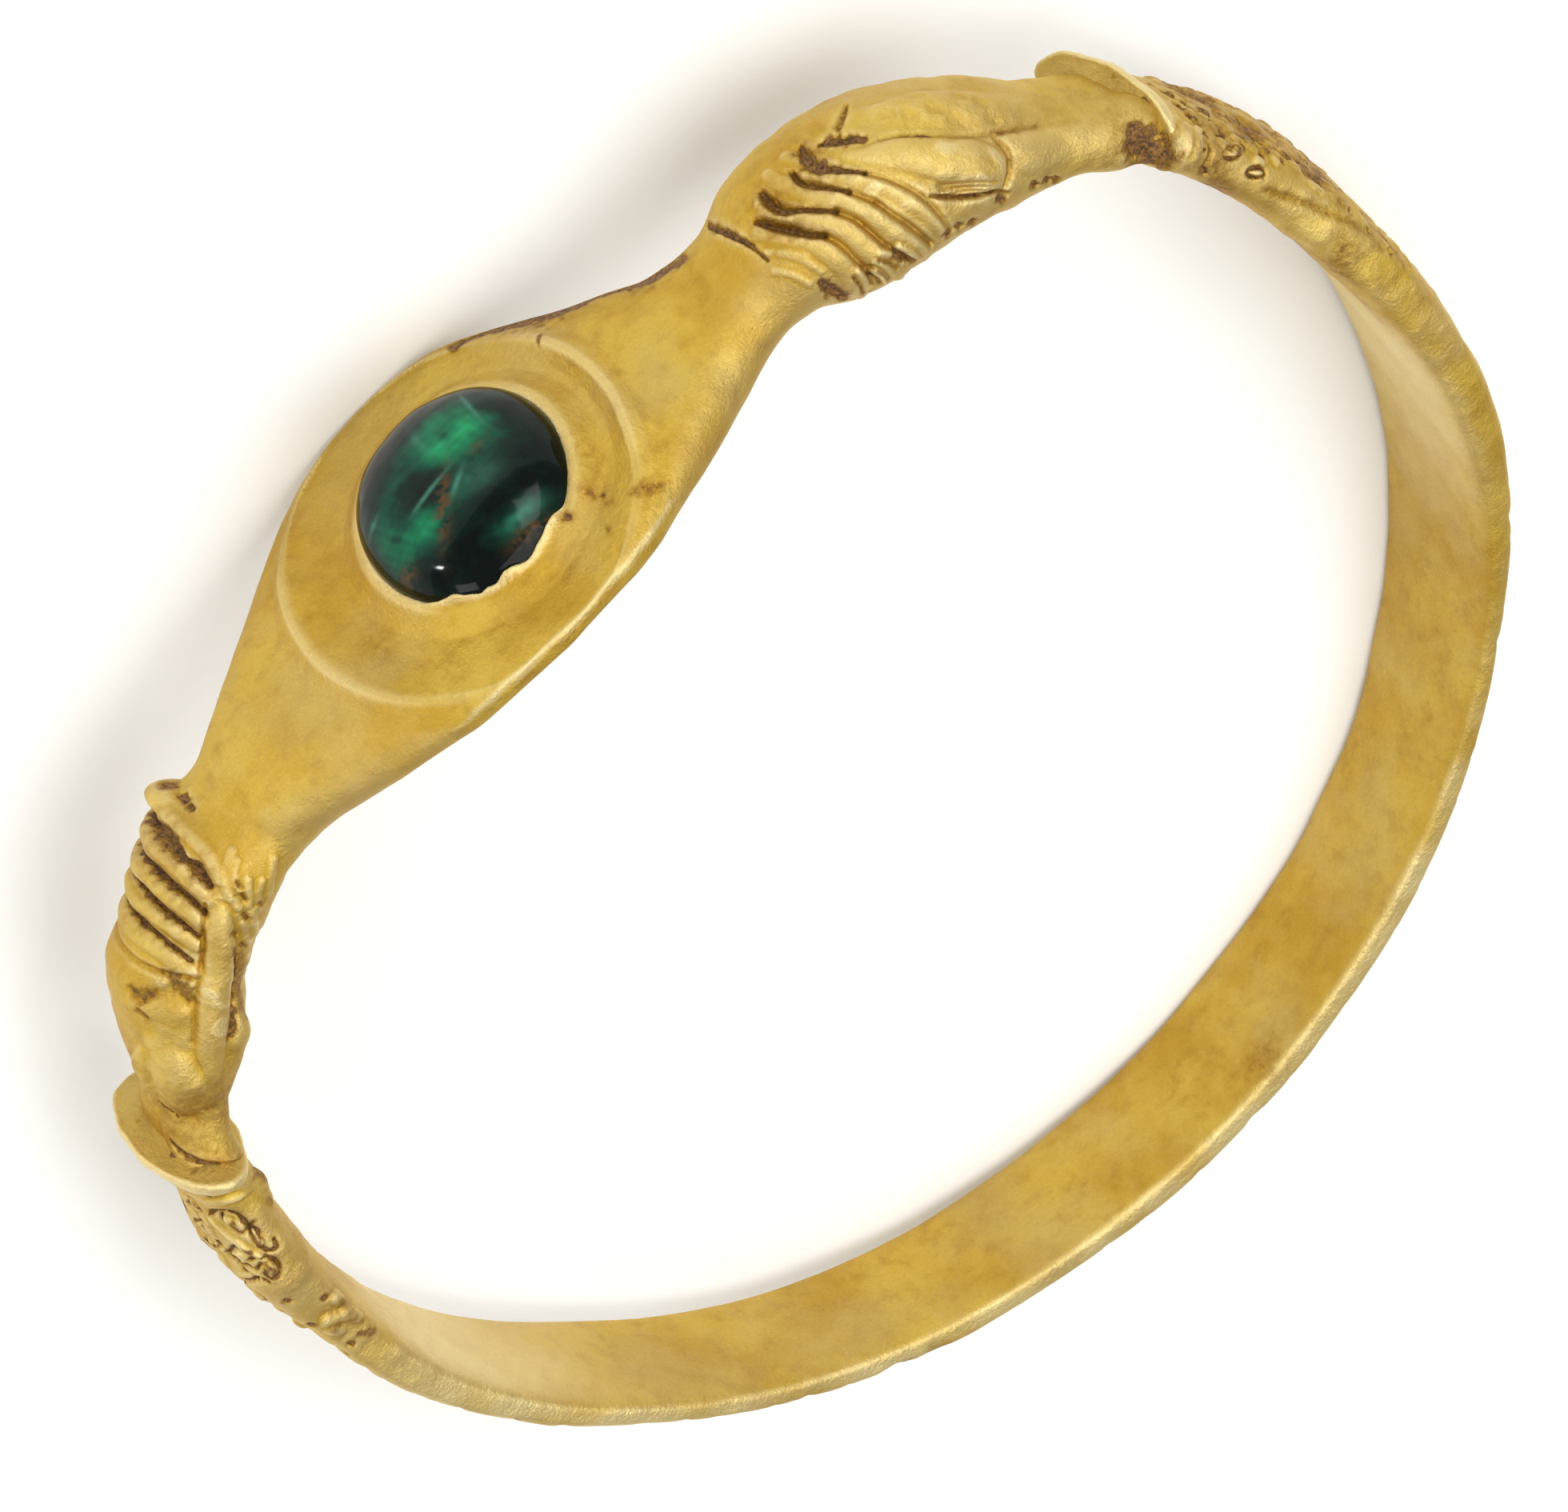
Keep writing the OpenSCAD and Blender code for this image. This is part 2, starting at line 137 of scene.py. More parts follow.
def station(column, at):
    """Eased value of a column at places in degrees."""
    return np.interp(at, PLACES, EASED[column], period=360) + (column == TURN) * at


def from_front(at):
    """Degrees between a place and the middle of the bezel, either way round."""
    return np.abs((at + 180) % 360 - 180)


def facing(turn):
    """Unit vectors that face outward at a turn: its sine across and minus its cosine along."""
    turn = np.radians(turn)
    return np.stack([np.sin(turn), -np.cos(turn), 0 * turn], -1)


def rounded(value, square):
    """Coordinate of a superellipse of half size one: the value's size to the power two over square."""
    return np.sign(value) * np.abs(value) ** (2 / square)


def skin_points(at, around):
    """Points of the bare skin and their outward directions, at places and angles in degrees.

    The point is the reach along the place's direction, plus half the thickness times the rounded cosine
    along the turned direction, plus half the width times the rounded sine along the finger hole. The
    direction is the slope of the superellipse there.
    """
    square = station(SQUARE, at)
    half_t, half_w = station(HALF_T, at), station(HALF_W, at)
    cosine, sine = np.cos(np.radians(around)), np.sin(np.radians(around))
    out, up = half_t * rounded(cosine, square), half_w * rounded(sine, square)
    turned = facing(station(TURN, at))
    points = station(REACH, at)[..., None] * facing(at) + out[..., None] * turned
    points[..., 2] += up
    power = 2 * (square - 1) / square
    slope_out = np.sign(cosine) * np.abs(cosine) ** power / half_t
    slope_up = np.sign(sine) * np.abs(sine) ** power / half_w
    size = np.hypot(slope_out, slope_up)
    directions = (slope_out / size)[..., None] * turned
    directions[..., 2] += slope_up / size
    return points, directions


# Degrees on either side of a chased line that it can reach
LINE_MARGIN = 4.0


class Skin:
    """Grid of points over one stretch of the swept skin, each with a height, a lift, dirt, and wear that also
    carries painted light.
    """

    def __init__(self, first, last, rows, columns, inner_share=1.0):
        """Rows at even places from first to last, and columns at even lengths round each section.

        The length counts in full on the outer and upper side, and by inner_share on the inner side.
        """
        places = np.linspace(first, last, rows)
        turns = np.linspace(-180, 180, 4 * 360 + 1)
        at = np.broadcast_to(places[:, None], (rows, len(turns)))
        points, _ = skin_points(at, np.broadcast_to(turns, at.shape))
        middle = (turns[1:] + turns[:-1]) / 2
        weight = 1 - (1 - inner_share) * smooth_step(np.abs(middle - 35), 100, 130)
        lengths = np.linalg.norm(np.diff(points, axis=1), axis=2) * weight
        total = np.concatenate([np.zeros((rows, 1)), np.cumsum(lengths, axis=1)], axis=1)
        share = total / total[:, -1:] + 2 * np.arange(rows)[:, None]
        wanted = np.arange(columns) / columns + 2 * np.arange(rows)[:, None]
        around = np.interp(wanted.ravel(), share.ravel(), np.tile(turns, rows))
        self.at = np.repeat(places, columns)
        self.around = around
        self.points, self.directions = skin_points(self.at, around)
        self.height, self.lift, self.grime, self.wear_and_painted_light = np.zeros((4, len(around)))
        self.ragged = 1 + 0.4 * np.clip(waves(self.points, 0.16, 31), -1, 1.5)
        self.first, self.last = first, last

    def near(self, line):
        """Indexes of the points whose place is within LINE_MARGIN of a line of rows."""
        low, high = line[:, 0].min() - LINE_MARGIN, line[:, 0].max() + LINE_MARGIN
        if high < self.first or low > self.last:
            return np.zeros(0, int)
        return np.flatnonzero((self.at > low) & (self.at < high))


def curve(rows, steps=5):
    """Smooth line through rows of numbers: at each share of a step, the cubic through four rows."""
    rows = np.array(rows, float)
    padded = np.vstack([2 * rows[0] - rows[1], rows, 2 * rows[-1] - rows[-2]])
    share = np.linspace(0, len(rows) - 1, steps * (len(rows) - 1) + 1)
    start = np.minimum(share.astype(int), len(rows) - 2)
    share = (share - start)[:, None]
    a, b, c, d = (padded[start + i] for i in range(4))
    return b + share * (c - a + share * (2 * a - 5 * b + 4 * c - d + share * (3 * b - a - 3 * c + d))) / 2


def nearest(points, line, values):
    """Distance from each point to a line, and the line's values at the nearest spot."""
    best = np.full(len(points), np.inf)
    found = np.zeros((len(points), values.shape[1]))
    for start, end, low, high in zip(line[:-1], line[1:], values[:-1], values[1:]):
        along = end - start
        share = np.clip((points - start) @ along / max(along @ along, 1e-12), 0, 1)
        distance = np.linalg.norm(points - start - share[:, None] * along, axis=1)
        closer = distance < best
        best[closer] = distance[closer]
        found[closer] = (low + share[:, None] * (high - low))[closer]
    return best, found


def soft_max(first, second, blend):
    """The larger of two heights, rounded off where they are within blend of each other."""
    meet = np.clip(1 - np.abs(first - second) / blend, 0, 1)
    return np.maximum(first, second) + meet * meet * blend / 4


# Unit of the chasing's rows, in millimetres
HUNDREDTH = 0.01
# Share of a strand's radius at which its circle passes into a straight slope, and the height there
STEEP = 0.94
STEEP_HEIGHT = np.sqrt(1 - STEEP**2)


def sized(line, *sizes):
    """Rows of a line of (place, angle) that all have the same sizes."""
    return [(*spot, *sizes) for spot in line]


def beside(skin, rows):
    """Indexes of the points near a line of rows, their distance from it and its two sizes there."""
    line = curve(rows)
    near = skin.near(line)
    spots, _ = skin_points(line[:, 0], line[:, 1])
    distance, values = nearest(skin.points[near], spots, HUNDREDTH * line[:, 2:4])
    return near, distance, *values.T


def strand(skin, rows, blend=5):
    """Raises a rounded strand through rows of (place, angle, rise, radius).

    At a distance from the strand's line the height is its rise plus the height of a circle there, and
    past the steep edge of the circle a straight slope runs down.
    """
    near, distance, rise, radius = beside(skin, rows)
    share = distance / radius
    circle = np.sqrt(np.clip(1 - share**2, STEEP_HEIGHT**2, 1))
    slope = np.clip(share - STEEP, 0, None) * STEEP / STEEP_HEIGHT
    skin.height[near] = soft_max(skin.height[near], rise + radius * (circle - slope), HUNDREDTH * blend)


def cut(skin, rows, dirt=1.0, spread=1.3):
    """Cuts a groove through rows of (place, angle, depth, width) and fills it with a share of dirt.

    The depth falls off from the groove's line as a bell curve of that width, and the dirt as a steeper
    one whose width is ragged.
    """
    near, distance, depth, width = beside(skin, rows)
    width = np.maximum(width, 0.5 * HUNDREDTH)
    skin.height[near] -= depth * np.exp(-((distance / width) ** 2))
    reach = width * spread * skin.ragged[near]
    skin.grime[near] = np.maximum(skin.grime[near], dirt * np.exp(-((distance / reach) ** 2)))


def stain(skin, rows, dirt):
    """Dirt alone, through rows of (place, angle, radius)."""
    cut(skin, [(place, angle, 0, radius) for place, angle, radius in rows], dirt, 1.0)


def waves(points, size, seed, count=14):
    """Smooth random height from -1 to 1 or so: a sum of plane waves about as long as size."""
    random = np.random.default_rng(seed)
    normals = random.normal(size=(count, 3))
    normals /= np.linalg.norm(normals, axis=1, keepdims=True)
    lengths = size * random.uniform(0.6, 1.6, count)
    phases = random.uniform(0, 2 * np.pi, count)
    return np.sin(points @ (normals / lengths[:, None]).T * 2 * np.pi + phases).sum(1) / np.sqrt(count)


# Brown halo round a dark gap: its depth, its width in widths of the gap, and its share of dirt
HALO_DEPTH = 2
HALO_WIDTH = 2.6
HALO_DIRT = 0.36


def gap(skin, rows, dirt):
    """Cuts a dark gap between two fingers, with a wider brown halo round it."""
    cut(skin, rows, dirt)
    cut(skin, [[place, angle, HALO_DEPTH, HALO_WIDTH * width] for place, angle, _, width in rows], HALO_DIRT)


def near_hand(skin):
    """Hand on the +X side: five wrapped fingers, a straight thumb, a rounded heel and the knob."""
    fingers = [
        ([[38.2, -120], [38, -60], [37.9, -30], [37.7, 0], [37.8, 30], [38.3, 47], [39, 57]], 15),
        ([[39.8, -120], [39.7, -60], [39.9, -28], [39.7, 3], [39.9, 25], [40.4, 44], [40.9, 56]], 16),
        ([[42.4, -120], [42.4, -60], [42.4, -28], [42.1, 3], [42.2, 24], [42.4, 42], [42.9, 58]], 17),
        ([[44.6, -120], [44.5, -60], [44.3, -12], [44.1, 11], [44.3, 34], [45, 60]], 15),
        ([[46.6, -120], [46.5, -60], [46.3, 0], [46.4, 31], [47.1, 66]], 19),
    ]
    for line, radius in fingers:
        strand(skin, sized(line, 5 - radius, radius), 3)
    # Knob on the outer side of the first finger, and the pad of the heel
    strand(skin, [[38.4, -90, -14, 20], [38, -62, -2, 21], [37.7, -40, 0, 22], [37.6, -16, -16, 18]])
    strand(skin, [[54.4, 38, -30, 36], [56, 46, -40, 54], [58, 50, -44, 60], [59.6, 48, -44, 56]], 5)
    strand(skin, [
        [56, 18, -28, 34], [58, 10, -32, 40], [60, 20, -34, 42], [60, 50, -36, 44], [59.8, 74, -38, 42],
    ], 6)
    cut(skin, [
        [54.2, 22, 2, 6], [55.6, 10, 5, 7], [58, -6, 6, 8], [60.4, -12, 8, 9], [61.8, 4, 10, 9],
        [62.6, 24, 11, 9], [62.9, 44, 12, 9], [62.3, 62, 12, 9], [62, 84, 10, 9], [61.6, 104, 8, 10],
    ], 0.2)
    # Thumb, and the bump at its root on the inner side
    strand(skin, [
        [40.6, 63, -16, 17], [42.4, 70, -12, 21], [45, 80, -11, 24], [48, 89, -12, 26], [50.6, 92, -13, 27],
        [53.2, 88, -14, 27], [55.5, 84, -18, 27], [58, 80, -28, 30],
    ], 3)
    strand(skin, [[52.4, 110, -20, 24], [53.8, 116, -16, 30], [55.6, 122, -20, 30], [58, 118, -30, 30]], 8)
    # Wrist that spreads over the face of the cuff
    strand(skin, [[61.6, 34, -44, 50], [63.4, 44, -42, 52], [65.4, 56, -42, 56], [67.2, 70, -46, 58]], 12)
    strand(skin, [[62.4, 96, -26, 34], [64.4, 104, -22, 34], [66.8, 112, -20, 34], [68.8, 120, -22, 34]], 12)
    # Crumpled seam against the stem
    for line in (
        [[37.6, 58], [38.6, 66], [39.4, 76]], [[38.6, 78], [39.6, 84], [40.8, 90]],
        [[37.2, 50], [38.8, 60], [40.2, 70], [41, 80]], [[38.6, 92], [40, 95], [41.4, 104]],
        [[36.9, 86], [38.2, 98], [40, 108]], [[42.6, 92], [43.6, 100], [45.2, 108]],
        [[41.4, 96], [42.8, 104], [44.2, 112]],
    ):
        strand(skin, sized(line, -5.5, 8.5), 5)
    for place, angle in ((38.9, 71), (39.9, 79), (41.7, 88), (40.6, 99), (43.3, 84), (44.9, 101)):
        cut(skin, [[place, angle, 3, 4], [place + 0.4, angle + 5, 3, 3.5]], 0.5)
    # Gaps between the fingers, dark with earth where they are wide
    gaps = [
        [[39.1, -120, 12, 5], [39, -60, 13, 6], [38.9, -44, 15, 8.5], [38.9, -24, 15, 6], [38.7, -2, 15, 9],
         [38.9, 15, 15, 8], [39, 27, 12, 3.5], [39.1, 36, 15, 7], [39.5, 45, 13, 5.5], [39.9, 53, 8, 3]],
        [[41.4, -120, 11, 5], [41.4, -60, 12, 5], [41.4, -36, 13, 6.5], [41.1, -12, 11, 3.5],
         [41, 6, 13, 5.5], [41.2, 27, 13, 5], [41.4, 41, 10, 3.5], [42.1, 56, 8, 2.5]],
        [[43.4, -120, 10, 4], [43.4, -60, 10, 4], [43.2, -21, 10, 3], [42.9, 1, 12, 5], [43.2, 20, 12, 5],
         [43.5, 36, 10, 4], [43.8, 48, 8, 2.5], [44.3, 59, 6, 2]],
        [[45.6, -120, 8, 3.5], [45.5, -60, 8, 3], [45.4, -24, 8, 3], [45.3, 4, 10, 4.5], [45.3, 20, 8, 3],
         [45.9, 45, 7, 2.5], [46.4, 60, 5, 2]],
    ]
    for rows in gaps:
        gap(skin, rows, 0.95)
    cut(skin, [[47.9, -60, 3, 6], [47.9, 0, 4, 5], [48, 30, 5, 5], [47.8, 64, 7, 5]], 0.25)
    # Thumb's two sides; the dark groove and stain along its inner side are painted shade
    cut(skin, [
        [41.3, 54, 4, 3], [43.3, 59, 5, 3], [45, 64, 5, 3.5], [48.2, 72, 3, 5], [51, 75, 3, 5],
        [53.4, 71, 2, 6],
    ], 0.12)
    cut(skin, [
        [44.8, 90, 3, 3], [47.3, 104, 6, 4.5], [49.4, 113, 10, 6], [51, 116, 11, 7], [52.4, 110, 8, 5],
        [53.6, 101, 4, 3.5],
    ], 0.9)
    stain(skin, [[46, 103, 10], [49.4, 121, 16], [52.5, 127, 14]], 0.55)
    # Dents with earth in the palm and knob
    cut(skin, [[49.4, 22, 5, 16], [49.6, 50, 9, 20], [49.8, 68, 7, 14]], 0.15)
    cut(skin, [[48, 46, 2, 9], [48.7, 58, 4, 12], [49.7, 69, 3, 8]], 0.62)
    cut(skin, [[50.2, 17, 3, 6], [50.4, 27, 6, 11], [49.8, 38, 3, 7]], 0.6)
    cut(skin, [[51.6, 26, 3, 5], [51.9, 32, 3, 5]], 0.55)
    cut(skin, [[37.1, -42, 8, 5.5], [37, -37, 8, 5]], 1)
    cut(skin, [[36.8, -20, 8, 6], [36.8, -14, 8, 5]], 1)
    cut(skin, [[36.8, -6, 7, 4.5], [36.8, -2, 7, 4]], 0.9)
    cut(skin, [[60.6, 27, 5, 3], [61.2, 36, 5, 3.5], [61.8, 43, 4, 3]], 0.75)
    cut(skin, [[60.8, 60, 3, 3], [61.2, 76, 3, 3.5]], 0.6)
    # Brown seam where the wrist meets the cuff, with a few grains in it, and ochre over the wrist
    cut(skin, [
        [64.4, 33, 3, 3], [64.9, 50, 5, 3.5], [65.5, 68, 6, 4], [66.3, 90, 7, 5], [67.3, 112, 7, 5],
    ], 0.85)
    for place, angle in (
        (65.2, 77), (65.4, 88), (65.5, 96), (66.1, 104), (66.3, 92), (67.2, 116), (66.8, 106),
    ):
        strand(skin, [[place, angle, 0, 7.5], [place + 0.15, angle + 2, 0, 7]], 2)
    stain(skin, [[62.8, 30, 10], [63.6, 52, 20], [64.4, 76, 30], [65.6, 100, 30], [67, 120, 24]], 0.32)


def far_hand(skin):
    """Hand on the -X side: four folded fingers, a long thumb with a nail, and the back of the hand."""
    fingers = [
        [[-38.4, -4], [-39.6, 12], [-40.6, 30], [-42.4, 47], [-43.6, 64], [-44.8, 82], [-45.8, 100]],
        [[-36.6, -2], [-37, 13], [-38, 27], [-39.9, 46], [-41.2, 68], [-42.5, 90], [-43.8, 110]],
        [[-34.8, 10], [-35.2, 24], [-36.3, 36], [-38.1, 54], [-39.2, 74], [-40, 98], [-41, 122]],
        [[-33.4, 26], [-34.4, 40], [-35.9, 55], [-36.8, 77], [-37.1, 97], [-37.2, 120]],
    ]
    for line in fingers:
        radii = [12, 15, 17, 18, 18, 17, 14][-len(line):]
        strand(skin, [[*spot, 5 - radius, radius] for spot, radius in zip(line, radii)], 5)
    # Back of the hand, with the upper finger, and the wrist that spreads over the face of the cuff
    strand(skin, [
        [-43.4, -2, -30, 32], [-45.5, 4, -34, 42], [-48, 10, -36, 48], [-51, 17, -36, 48], [-54, 20, -40, 45],
        [-57.5, 20, -42, 42], [-60.5, 20, -44, 44], [-63, 18, -44, 44],
    ], 5)
    strand(skin, [[-57, 56, -40, 42], [-60, 52, -42, 48], [-62.6, 40, -44, 54], [-65, 26, -44, 56]], 14)
    # Thumb: narrow at its tip, widening to the root
    strand(skin, [
        [-41, 21, -10, 10], [-42.4, 27, -10, 17], [-44, 34, -15, 27], [-46.4, 45, -22, 38],
        [-48.8, 57, -26, 43], [-50.2, 66, -28, 42],
    ], 3.5)
    # Root of the thumb and the wrist's upper side
    strand(skin, [[-52.8, 56, -34, 40], [-54.6, 62, -34, 44], [-58, 70, -40, 42], [-61, 80, -46, 44]], 6)
    # Gaps between the fingers, from the back of the hand to the stem
    gaps = [
        [[-39.6, -3, 7, 4], [-39.4, 4, 12, 9], [-39.5, 13, 14, 10], [-40, 22, 13, 6.5], [-40.9, 31, 9, 3],
         [-41.8, 37, 6, 2]],
        [[-38, 8, 10, 3], [-38, 17, 12, 5.5], [-38.5, 24, 13, 7.5], [-39.1, 31, 11, 4], [-40.2, 42, 7, 2]],
        [[-35.5, 3, 9, 4], [-35.4, 13, 15, 9], [-35.8, 25, 14, 8], [-36.8, 33, 10, 3.5], [-38.7, 47, 6, 2]],
        [[-33.8, 17, 9, 4], [-34.5, 28, 15, 8], [-35.2, 38, 15, 7], [-36.1, 49, 12, 4], [-37.1, 56, 8, 2.5]],
    ]
    for rows, dirt in zip(gaps, (1, 0.42, 0.6, 0.5)):
        gap(skin, rows, dirt)
    # Cuts in which the gaps run out towards the palm, and crumpled ridges between them
    tails = [
        [[-41.8, 37], [-43, 48], [-44.1, 61], [-45, 76], [-46.2, 104]],
        [[-40.2, 42], [-41.3, 55], [-41.9, 66], [-43.1, 85], [-44.2, 106]],
        [[-38.7, 47], [-39.6, 59], [-40.1, 73], [-40.8, 90], [-42, 112]],
        [[-37.1, 56], [-37.7, 67], [-38.1, 83], [-38.5, 99], [-38.4, 118]],
    ]
    for line in tails:
        cut(skin, sized(line, 7, 5), 0.16)
    for line in (
        [[-39.8, 84], [-40.6, 92], [-41.2, 104]], [[-39.2, 88], [-39.8, 98], [-40.2, 110]],
        [[-38.9, 96], [-39.4, 106], [-39.6, 116]], [[-41.4, 88], [-42.2, 98], [-42.8, 110]],
        [[-37.6, 88], [-37.8, 98], [-37.8, 110]],
    ):
        strand(skin, sized(line, 1.5, 5), 2)
        cut(skin, [[place + 0.5, angle + 3, 3, 2.5] for place, angle in line], 0.45)
    # Pit beside the back of the hand, and the line under it
    cut(skin, [[-43.8, -15, 3, 3], [-43, -6, 6, 5], [-42.2, 1, 5, 5]], 0.45)
    cut(skin, [[-40.6, 5, 5, 3], [-41.5, 8, 10, 8], [-42.3, 12, 10, 7], [-43, 17, 6, 4]], 1)
    cut(skin, [
        [-43.9, 23, 3, 4], [-46, 28, 5, 4], [-48.6, 38, 3.5, 5], [-52, 41, 4, 5], [-55, 40, 3, 7],
        [-59, 40, 1.5, 8],
    ], 0.16)
    stain(skin, [[-45.6, 28, 4], [-46.9, 32, 5]], 0.8)
    stain(skin, [[-51.6, 40, 5], [-53.4, 41, 6], [-55.6, 40, 5]], 0.45)
    # Nail: a flat with chased lines, and the dark cut under it
    cut(skin, [[-46.4, 68, 4, 10], [-48.2, 73, 5, 13], [-50, 79, 4, 10]], 0)
    for side in (-3, 1, 5):
        cut(skin, [[-45.9, 67 + side, 1.5, 2], [-48.2, 73 + side, 3.5, 2], [-50.6, 80 + side, 1.5, 2]], 0.15)
    cut(skin, [
        [-45.2, 69, 5, 2.5], [-47.2, 79, 10, 3], [-49.1, 85, 10, 3], [-50.7, 88, 9, 3], [-51.8, 95, 5, 4.5],
    ], 0.45)
    cut(skin, [[-51.6, 44, 3, 4], [-52.2, 58, 5, 5], [-52.1, 73, 6, 5], [-51.6, 86, 5, 5]], 0.25)
    # Hammered flats on the back of the hand
    for place, angle in (
        (-45.1, 8), (-47.5, 2), (-51.5, 18), (-51.8, 30), (-45.1, -6), (-49.1, 25), (-48.1, 16), (-46.4, 14),
        (-50.2, 10),
    ):
        cut(skin, [[place, angle, 3.5, 9], [place - 0.4, angle + 2, 3.5, 8]], 0)
    # Crack and pit where the hand meets the stem
    cut(skin, [
        [-31.6, -36, 5, 3], [-31.7, -20, 7, 4.5], [-32.1, 4, 8, 4], [-32.5, 24, 6, 3], [-32.7, 44, 3, 2],
    ], 0.85)
    cut(skin, [[-34.8, 86, 6, 4], [-35.2, 100, 12, 8], [-35.7, 115, 8, 7]], 1)
    for line in (
        [[-32.6, 54], [-33.4, 68], [-33.9, 82]], [[-33.6, 48], [-34.6, 62], [-35.2, 76]],
        [[-33, 40], [-34, 50], [-35, 60]],
    ):
        strand(skin, sized(line, -5, 7), 4)
    # Broken edge at the inner side
    for place, angle in (
        (-42, 107), (-40.7, 94), (-45.6, 101), (-46.8, 102), (-48.4, 110), (-54.6, 96), (-56, 98), (-51, 96),
        (-57, 103),
    ):
        cut(skin, [[place, angle, 6, 5], [place - 0.5, angle + 6, 5, 5]], 0.75)
    # Deep round pit with crumbs of earth in the corner of the wrist and the cuff, and ochre round it
    cut(skin, [[-63.1, 56, 8, 12], [-63.5, 68, 16, 16], [-63.9, 80, 20, 17], [-64.2, 94, 18, 16]], 1, 1.1)
    stain(skin, [[-63.6, 54, 10], [-64.2, 68, 20], [-64.9, 82, 24], [-65.4, 96, 22], [-65, 108, 16]], 1)
    stain(skin, [[-61.6, 40, 14], [-61.9, 60, 20], [-62, 80, 20], [-61.4, 96, 16]], 0.3)


def grains(skin, side, seed):
    """Cast grains with dark pits between them, thick by the cuff and thinning out to the plain hoop."""
    random = np.random.default_rng(seed)
    for away in np.arange(69.8, 106, 1.05 if side > 0 else 1.5):
        left = 1 - smooth_step(away, 76, 107)
        for angle in np.arange(-50, 50, 13):
            place, turn = side * (away + random.uniform(-0.6, 0.6)), angle + random.uniform(-8, 8)
            radius, chance, pit = random.uniform(6, 13), random.random(), random.random()
            if chance > 1.15 * left or (side > 0 and turn > 14 - 0.8 * (away - 84) * (away > 84)):
                continue
            rise = 3.5 * left - radius
            strand(skin, [[place, turn, rise, radius], [place + 0.3 * side, turn + 3, rise, radius]], 2)
            if pit < 0.3 * left:
                after = [place + 0.8 * side, turn + 10, 4, 3]
                cut(skin, [[place + 0.6 * side, turn + 6, 5, 3.5], after], 0.65)


def near_sleeve(skin):
    """Chased scrolls, eyes and pellets on the sleeve of the +X arm."""
    scrolls = [
        [[72.5, 26], [71.6, 42], [71.2, 58], [71.5, 71], [72.3, 77], [73, 80], [73.6, 76], [73.7, 64],
         [73.4, 54], [72.8, 47], [72, 47], [71.7, 52]],
        [[73.6, 77], [73.7, 86], [74.4, 88], [75, 81], [75.7, 84], [76.3, 90], [76.1, 97], [75.7, 99]],
        [[73.1, 88], [73.9, 78], [74.6, 79]],
        [[77.2, 20], [76.4, 28], [75.6, 38], [75.2, 50], [75.7, 58]],
        [[76.4, 68], [76.4, 78], [77.1, 87], [77.9, 89], [78.6, 85], [78.8, 78], [78.8, 70], [78.2, 66]],
        [[77.6, 20], [77.1, 33], [77.8, 32], [77.4, 46], [77.7, 56], [77.1, 68]],
        [[80.2, 18], [79.4, 35], [78.6, 54], [79.2, 64]],
        [[77.9, 72], [77.5, 76], [77.8, 82], [78.2, 80]],
        [[75.2, 60], [75.6, 66], [76.4, 62], [76.6, 54]],
        [[72.6, 58], [72.4, 63], [73.1, 64]],
        [[78.2, 34], [78.4, 44], [79, 48]],
        [[76, -4], [75.2, 6], [76, 16], [77.2, 10], [77.8, -2]],
        [[72.4, -40], [71.2, -24], [72, -6], [73.8, -2], [74.6, -16], [73.4, -24]],
        [[79.4, -40], [78, -26], [78.6, -8], [80.6, -2], [81.6, -16], [80.2, -26]],
        [[81.4, 8], [80.8, 20], [81.6, 32], [83, 30], [83.2, 18], [82.2, 14]],
        [[86.6, 44], [85.2, 34], [85.8, 18], [87.8, 12], [88.8, 24], [87.6, 32]],
        [[86, -36], [85, -18], [86.6, -2], [88.8, -8], [88.6, -24]],
        [[92, 46], [90.8, 32], [91.8, 14], [94, 10], [94.6, 26]],
        [[92, -40], [90.8, -22], [92, -4], [94.4, -8], [94.4, -26]],
    ]
    for line in scrolls:
        cut(skin, sized(line, 5, 2.8), 0.7)
        cut(skin, sized(line, 2, 7), 0.2)
    for place, angle, radius in (
        (72.2, 55, 7), (72.6, 67, 8), (74.6, 83, 5), (77.7, 79, 7), (76, 46, 8), (73.6, -14, 12),
        (80, -16, 12), (82, 22, 10), (86.8, 26, 10), (74.4, 14, 9), (70.4, 12, 10), (78.4, 8, 9),
        (84.4, 2, 12), (89.8, 4, 12), (96, -6, 12),
    ):
        strand(skin, sized([[place, angle], [place + 0.3, angle + 2]], 4.5 - radius, radius), 2)
    for place, angle in (
        (76, 12), (74.6, 2), (76.2, -22), (80.6, 10), (81.7, 70), (85.9, 63), (70, -12), (84.3, 98),
        (83.4, 38), (90.6, 82),
    ):
        cut(skin, [[place, angle, 5, 5], [place + 0.2, angle + 2, 5, 4.5]], 0.7)
    # Pale ridge between the scrolls, and the band under the rim of the cuff
    strand(skin, [
        [72.9, 24, -2, 5], [73.9, 40, 0, 5], [74.5, 53, 0, 5], [75.4, 63, 0, 5], [76.2, 75, -1, 4],
    ], 2)
    strand(skin, [
        [69.7, 20, -3, 9], [69.8, 53, -3, 9], [69.8, 78, -3, 9], [70, 96, -3, 9], [70, 113, -4, 9],
    ], 3)
    stain(skin, [[69.2, 128, 10], [70.2, 136, 14], [71.6, 142, 12]], 0.6)
    stain(skin, [[72.7, 126, 5], [73.4, 131, 6]], 0.5)
    for place, angle in ((85.5, 112), (87.5, 99), (87.8, 84), (88.6, 108), (86.6, 88)):
        strand(skin, [[place, angle, -8, 14], [place + 0.8, angle + 4, -8, 13]], 4)
        stain(skin, [[place + 0.9, angle - 4, 7], [place + 1.3, angle + 2, 8]], 0.45)
    grains(skin, 1, 9)
    stain(skin, [[60.8, 30, 75], [61.2, 70, 75], [61.6, 110, 75]], 0.34)
